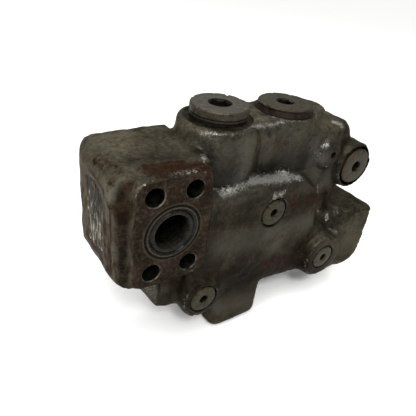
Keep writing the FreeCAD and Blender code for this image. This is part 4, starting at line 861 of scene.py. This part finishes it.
main_plug = socket_plug(
    "main_screw_plug", outline, collar_h + 0.5, (main_x, bore_y, MAIN_FOOT), UP, MAIN_SOCKET,
    (main_steel, main_side, socket_steel), nicks=1.5, recess=MAIN_SPRING_ROOM)
finish_piece(main_plug, "main_plug")


# The spacer under the main plug: a turned steel ring with a thin disc on top, clamped by the plug's collar.
# It is dark with oil and with painted shade in the gap under the collar, and its edges show as two thin
# lighter lines.
SPACER_STEM = (18.05, 19.4, 2.6)
SPACER_DISC = (20.8, 4.2)
stem_in, stem_out, stem_top = SPACER_STEM
disc_r, disc_top = SPACER_DISC
outline = [(stem_in, 0.3), (stem_in + 0.3, 0), (stem_out - 0.3, 0), (stem_out, 0.3), (stem_out, stem_top),
           (disc_r - 0.3, stem_top), (disc_r, stem_top + 0.3), (disc_r, disc_top - 0.3),
           (disc_r - 0.3, disc_top), (stem_in, disc_top)]
spacer = turned("main_plug_spacer", outline, (main_x, bore_y, SPOT_Z), UP, PLUG_STEPS)
spacer_steel = new_steel(
    "oily_shaded_spacer_steel", ("#1d1a14", "#3a362c"), ("#120d08", "#5d594c"), roughness=(0.4, 0.6), metallic=0.4,
    cloud_mm=5)
spacer.data.materials.append(spacer_steel)
finish_piece(spacer, "main_plug_washer", 0.15)


# The spool's plug: the second large plug, turned with a flared foot that sits flat on its spot face. Its top
# is grey brown, and its side is a darker, rougher brown where rust has bitten it.
SPOOL_COLLAR = (21.0, 5.6, 2.2)
SPOOL_SHANK = (18.0, 14.0)
SPOOL_SPRING_ROOM = (13.8, 6.9)
SPOOL_SOCKET = (12, 7)
spool_steel = new_steel(
    "grey_brown_top_steel", ("#2a271b", "#464233"), ("#241c12", "#74705f"), roughness=(0.45, 0.62),
    metallic=0.5)
spool_side = new_steel(
    "rust_bitten_steel", ("#100d08", "#221c14"), ("#19110a", "#484235"), roughness=(0.5, 0.7),
    metallic=0.25, cloud_mm=5)
collar_r, collar_h, flare = SPOOL_COLLAR
outline = screwed(*SPOOL_SHANK, RING_R) + [
    (collar_r + flare - 0.3, 0), (collar_r + flare, 0.4), (collar_r + 0.4, collar_h / 2),
    (collar_r, collar_h / 2 + 0.6), (collar_r, collar_h - 0.9), (collar_r - 0.9, collar_h)]
spool_plug = socket_plug(
    "spool_screw_plug", outline, collar_h, (spool_x, bore_y, SPOT_Z), UP, SPOOL_SOCKET,
    (spool_steel, spool_side, socket_steel), nicks=1.2, recess=SPOOL_SPRING_ROOM)
finish_piece(spool_plug, "spool_plug")


# The relief plug: turned steel, screwed down in a counterbore of the right-hand boss, so a black gap shows
# all round it. Its face is brown with stains and grey where a finger or a rag has wiped it.
RELIEF_COLLAR = (15.2, 8.4)
RELIEF_SHANK = (13.5, 13.0)
RELIEF_SPRING_ROOM = (8.0, 6.0)
RELIEF_SOCKET = (8, 7)
relief_steel = new_steel(
    "wiped_face_steel", ("#1e1a12", "#4b4537"), ("#2c1e13", "#7d7a70"), roughness=(0.42, 0.6), metallic=0.5)
# The plugs' sides are dark with stains and with painted shade where they sit down in their counterbores.
side_steel = new_steel(
    "stained_shaded_side_steel", ("#0f0c08", "#1f1b13"), ("#23170e", "#5a564b"), roughness=(0.42, 0.6),
    metallic=0.3)
collar_r, collar_h = RELIEF_COLLAR
outline = screwed(*RELIEF_SHANK, SMALL_RING_R) + [
    (collar_r - 0.4, 0), (collar_r, 0.4), (collar_r, collar_h - 1.1), (collar_r - 1.1, collar_h)]
relief_plug = socket_plug(
    "relief_screw_plug", outline, collar_h, (relief_x, RELIEF_SEAT_Y, relief_z), FRONT, RELIEF_SOCKET,
    (relief_steel, side_steel, socket_steel), nicks=0.5, recess=RELIEF_SPRING_ROOM, side_from=2)
finish_piece(relief_plug, "relief_plug")


# The three gallery plugs: small turned plugs sunk flush in their spot faces, closing the drilled oil
# galleries. Their faces are mottled dark brown with small bright scratches.
GALLERY_COLLAR = (11.2, 3.0)
GALLERY_SHANK = (9.0, 11.0)
GALLERY_SOCKET = (6, 7)
gallery_steel = new_steel(
    "mottled_face_steel", ("#0b0906", "#48442f"), ("#1d130b", "#8a877c"), roughness=(0.40, 0.6),
    metallic=0.45, cloud_mm=4)
collar_r, collar_h = GALLERY_COLLAR
outline = screwed(*GALLERY_SHANK, SMALL_RING_R) + [
    (collar_r - 0.3, 0), (collar_r, 0.3), (collar_r, collar_h - 0.8), (collar_r - 0.8, collar_h)]
for name, (x, front, z) in zip(GALLERY_NAMES, gallery_fronts):
    plug = socket_plug(name + "_screw_plug", outline, collar_h, (x, front + collar_h, z), FRONT,
                       GALLERY_SOCKET, (gallery_steel, side_steel, socket_steel), nicks=0.4)
    finish_piece(plug, name + "_gallery_plug", 0.15)


# The nameplate: thin rolled metal with a pressed border, sunk in its pocket in the left side. Its paint has
# been rubbed to pale upright streaks, palest in the lower half.
PLATE_CORNER = 2.5
PLATE_RIM = 0.5
PLATE_SLOPE = 0.25
PLATE_GROOVE = 0.8
PLATE_PRESS = 0.25
PLATE_RAISE = 0.175
STREAK_ACROSS = 7
GRIT_MM = 1.2
plate_low, plate_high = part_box("name_plate")
plate_mesh = bmesh.new()
bmesh.ops.create_cube(plate_mesh, size=1)
bmesh.ops.scale(plate_mesh, verts=plate_mesh.verts, vec=Vector(plate_high) - Vector(plate_low))
bmesh.ops.translate(plate_mesh, verts=plate_mesh.verts, vec=(Vector(plate_low) + Vector(plate_high)) / 2)
half_thick = (plate_high[0] - plate_low[0]) / 2
corners = [edge for edge in plate_mesh.edges if abs(edge.verts[0].co.x - edge.verts[1].co.x) > half_thick]
bmesh.ops.bevel(plate_mesh, geom=corners, offset=PLATE_CORNER * MM, segments=8, profile=0.5, affect="EDGES",
                material=-1)
face = min(plate_mesh.faces, key=lambda f: f.calc_center_median().x)
for wide, deep in ((PLATE_RIM, 0), (PLATE_SLOPE, -PLATE_PRESS), (PLATE_GROOVE, 0),
                   (PLATE_SLOPE, PLATE_RAISE)):
    bmesh.ops.inset_region(plate_mesh, faces=[face], thickness=wide * MM, depth=deep * MM)
plate = new_object("rating_plate", plate_mesh)

# Rolled sheet with rubbed paint: pale streaks over dark metal, with fine dirt in them.
rolled, tree = new_material("rubbed_painted_sheet")
place = add(tree, "TexCoord", output="Object")
rubbed_way = add(tree, "Mapping", {"Vector": place, "Scale": (1, 3.2, 0.8)})
streaks = add(tree, "TexNoise", {
    "Vector": rubbed_way, "Scale": 1 / (STREAK_ACROSS * MM), "Detail": 6, "Roughness": 0.7})
height = add(tree, "SeparateXYZ", {"Vector": place}, "Z")
paint_left = add(tree, "MapRange", {0: height, 1: 22 * MM, 2: -8 * MM, 3: -0.07, 4: 0.04})
streaks = add(tree, "Math", {0: streaks, 1: paint_left}, operation="ADD")
grit = add(tree, "TexNoise", {"Vector": place, "Scale": 1 / (GRIT_MM * MM), "Detail": 4, "Roughness": 0.7})
face_colour = add(
    tree, "ValToRGB", {"Fac": streaks}, stops=((0.44, "#1b1913"), (0.55, "#45423a"), (0.67, "#b3ac9d")))
dirt = add(tree, "ValToRGB", {"Fac": grit}, stops=((0.45, 0.0), (0.75, 0.8)))
face_colour = add(tree, "Mix", {0: dirt, 6: face_colour, 7: "#1c1a15"}, 2, data_type="RGBA")
bump = add(tree, "Bump", {"Height": grit, "Strength": 0.4, "Distance": 0.1 * MM})
shader = add(tree, "BsdfPrincipled", {
    "Base Color": face_colour, "Metallic": 0.4, "Roughness": 0.5, "Specular IOR Level": 0.1,
    "Specular Tint": "#a89c80", "Normal": bump})
add(tree, "OutputMaterial", {"Surface": shader})
plate.data.materials.append(rolled)
finish_piece(plate, "name_plate", 0.08)


# The plate's two rivets: round-head brass drive rivets, hammered into the iron. They have gone a dull grey
# brown, with a little yellow left where they stand out.
RIVET_HEAD = [(2.3, 0), (2.25, 0.35), (1.9, 0.7), (1.2, 0.95), (0.6, 1.0), (0, 1.0)]
RIVET_STEM = (1.2, 5.0)
rivet_low, rivet_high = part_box("name_plate_rivets")
rivet_y = (rivet_low[1] + rivet_high[1]) / 2 / MM
brass = new_steel("dull_rivet_brass", ("#3a3222", "#554935"), ("#2a2318", "#7d7253"),
                  roughness=(0.45, 0.65), metallic=0.6, cloud_mm=3, dent_mm=0.8)
stem_r, stem_l = RIVET_STEM
head_r, head_h = RIVET_HEAD[0][0], RIVET_HEAD[-1][1]
rivets = bmesh.new()
for rivet_z in (rivet_low[2] / MM + head_r, rivet_high[2] / MM - head_r):
    head = turned("rivet", [(0, -stem_l), (stem_r, -stem_l), (stem_r, 0)] + RIVET_HEAD,
                  (rivet_low[0] / MM + head_h, rivet_y, rivet_z), LEFT, 32)
    rivets.from_mesh(head.data)
    drop(head)
rivets = new_object("plate_rivets", rivets)
rivets.data.materials.append(brass)
finish_piece(rivets, "name_plate_rivets", 0.05)


# The ground pieces inside: seats, poppet, spool, pilot piston, cup, cone, disc and shims slide or seal on
# each other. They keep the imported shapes: hardened steel, ground and lapped, with fine rings of grinding
# lines that are drawn 2.2 mm apart, because the real ones, a tenth of a millimetre apart, would not show.
GROUND_PIECES = ("main_seat", "main_poppet", "metering_spool", "pilot_piston", "spool_spring_cup",
                 "relief_seat", "relief_cone", "relief_spring_disc", "relief_shim")
GRINDING_MM = 2.2
CLOUD_MM = 12


def dress(nodes, material):
    """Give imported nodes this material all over."""
    for name in nodes:
        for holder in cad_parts[name].material_slots:
            holder.material = material


ground, tree = new_material("ground_hardened_steel")
place = add(tree, "TexCoord", output="Object")
waves = {"Vector": place, "Scale": 1 / (GRINDING_MM * MM), "Distortion": 1.5, "Detail": 3}
lines = add(tree, "TexWave", waves, "Fac", bands_direction="Z")
clouds = add(tree, "TexNoise", {"Vector": place, "Scale": 1 / (CLOUD_MM * MM), "Detail": 4, "Roughness": 0.6})
steel = add(tree, "ValToRGB", {"Fac": clouds}, stops=((0.3, "#8e8d8a"), (0.7, "#a9a8a4")))
shine = add(tree, "ValToRGB", {"Fac": lines}, stops=((0.0, 0.22), (1.0, 0.34)))
bump = add(tree, "Bump", {"Height": lines, "Strength": 0.1, "Distance": 0.02 * MM})
shader = add(tree, "BsdfPrincipled", {
    "Base Color": steel, "Metallic": 1.0, "Roughness": shine, "Normal": bump})
add(tree, "OutputMaterial", {"Surface": shader})
dress(GROUND_PIECES, ground)


# The four springs: round patented wire, coiled cold with closed ends ground flat, and stress-relieved in an
# oven, which leaves it a blue grey with a soft shine. Each is set between a fixed seat and a moving piece;
# the table's joint and travel are not used, so each spring keeps the length of its imported part.
SPRINGS = (
    ("main_spring", 2.6, 7, UP, "main_lift", 8),
    ("spool_outer_spring", 3.0, 6, UP, "spool_stroke", 6),
    ("spool_inner_spring", 1.8, 7, UP, "spool_stroke", 6),
    ("relief_spring", 2.2, 6, FRONT, "relief_lift", 2.5))
WIRE_SIDES = 12
STEPS_A_TURN = 28
CLOSED_TURNS = 0.75
SEAT_TO_WIRE = 0.15
CLOSED_RISE = 0.9


def coiled(name, foot, axis, mean_r, wire, length, turns):
    """A compression spring of round wire between two flat seats, from foot along axis."""
    mesh = bmesh.new()
    closed = CLOSED_RISE * wire
    open_rise = length - 2 * (SEAT_TO_WIRE * wire + closed)
    section = Matrix.Translation((mean_r, 0, SEAT_TO_WIRE * wire)) @ Matrix.Rotation(math.pi / 2, 4, "X")
    bmesh.ops.create_circle(mesh, segments=WIRE_SIDES, radius=wire / 2, matrix=section)
    end = mesh.verts[:] + mesh.edges[:]
    for turn_count, rise in ((CLOSED_TURNS, closed), (turns - 2 * CLOSED_TURNS, open_rise),
                             (CLOSED_TURNS, closed)):
        steps = round(STEPS_A_TURN * turn_count)
        end = bmesh.ops.spin(mesh, geom=end, cent=(0, 0, 0), axis=(0, 0, 1), dvec=(0, 0, rise / steps),
                             angle=2 * math.pi * turn_count, steps=steps)["geom_last"]
    bmesh.ops.holes_fill(mesh, edges=[edge for edge in mesh.edges if edge.is_boundary])
    for height, outside in ((0, -1), (length, 1)):
        bmesh.ops.bisect_plane(mesh, geom=mesh.verts[:] + mesh.edges[:] + mesh.faces[:], dist=1e-5,
                               plane_co=(0, 0, height), plane_no=(0, 0, outside), clear_outer=True)
        bmesh.ops.holes_fill(mesh, edges=[edge for edge in mesh.edges if edge.is_boundary])
    bmesh.ops.recalc_face_normals(mesh, faces=mesh.faces)
    bmesh.ops.transform(mesh, matrix=set_at(foot, axis), verts=mesh.verts)
    return new_object(name, mesh)


spring_wire = new_steel(
    "blued_spring_wire", ("#2b2e36", "#454a55"), ("#3c3a38", "#8a8c90"), roughness=(0.3, 0.45),
    metallic=0.9, cloud_mm=9, dent_mm=1.5)
for node, wire, turns, axis, joint, travel in SPRINGS:
    low, high = (Vector(corner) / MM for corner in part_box(node))
    line = Vector(axis)
    length = abs((high - low).dot(line))
    foot = (low + high) / 2 - line * length / 2
    mean_r = (high.x - low.x - wire) / 2
    spring = coiled(node + "_wire", foot, axis, mean_r, wire, length, turns)
    spring.data.materials.append(spring_wire)
    spring.data.shade_smooth()
    spring.data.set_sharp_from_angle(angle=SHARP_ANGLE)
    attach(spring, "housing")
    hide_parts(node)
    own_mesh(spring)


# The seals: moulded nitrile rubber rings in their grooves, black with a faint oily shine and a little bloom.
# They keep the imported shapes.
SEALS = ("main_plug_seal", "spool_plug_seal", "relief_plug_seal", "pilot_piston_ring", "middle_plug_seal",
         "lower_left_plug_seal", "lower_right_plug_seal")
BLOOM_MM = 2.5
rubber, tree = new_material("moulded_nitrile_rubber")
place = add(tree, "TexCoord", output="Object")
bloom = add(tree, "TexNoise", {"Vector": place, "Scale": 1 / (BLOOM_MM * MM), "Detail": 4, "Roughness": 0.6})
black = add(tree, "ValToRGB", {"Fac": bloom}, stops=((0.3, "#0c0c0c"), (0.7, "#191817")))
shine = add(tree, "ValToRGB", {"Fac": bloom}, stops=((0.3, 0.45), (0.7, 0.62)))
bump = add(tree, "Bump", {"Height": bloom, "Strength": 0.15, "Distance": 0.05 * MM})
shader = add(tree, "BsdfPrincipled", {"Base Color": black, "Roughness": shine, "Normal": bump})
add(tree, "OutputMaterial", {"Surface": shader})
dress(SEALS, rubber)


# The two damping nozzles: small screws turned from free-cutting brass with a drilled hole, still yellow
# because clean oil flows through them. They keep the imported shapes.
nozzle_brass = new_steel(
    "turned_nozzle_brass", ("#8a7440", "#a88f52"), ("#6a5a38", "#c2ab70"), roughness=(0.25, 0.4),
    metallic=1.0, cloud_mm=4)
dress(("poppet_nozzle", "pilot_nozzle"), nozzle_brass)
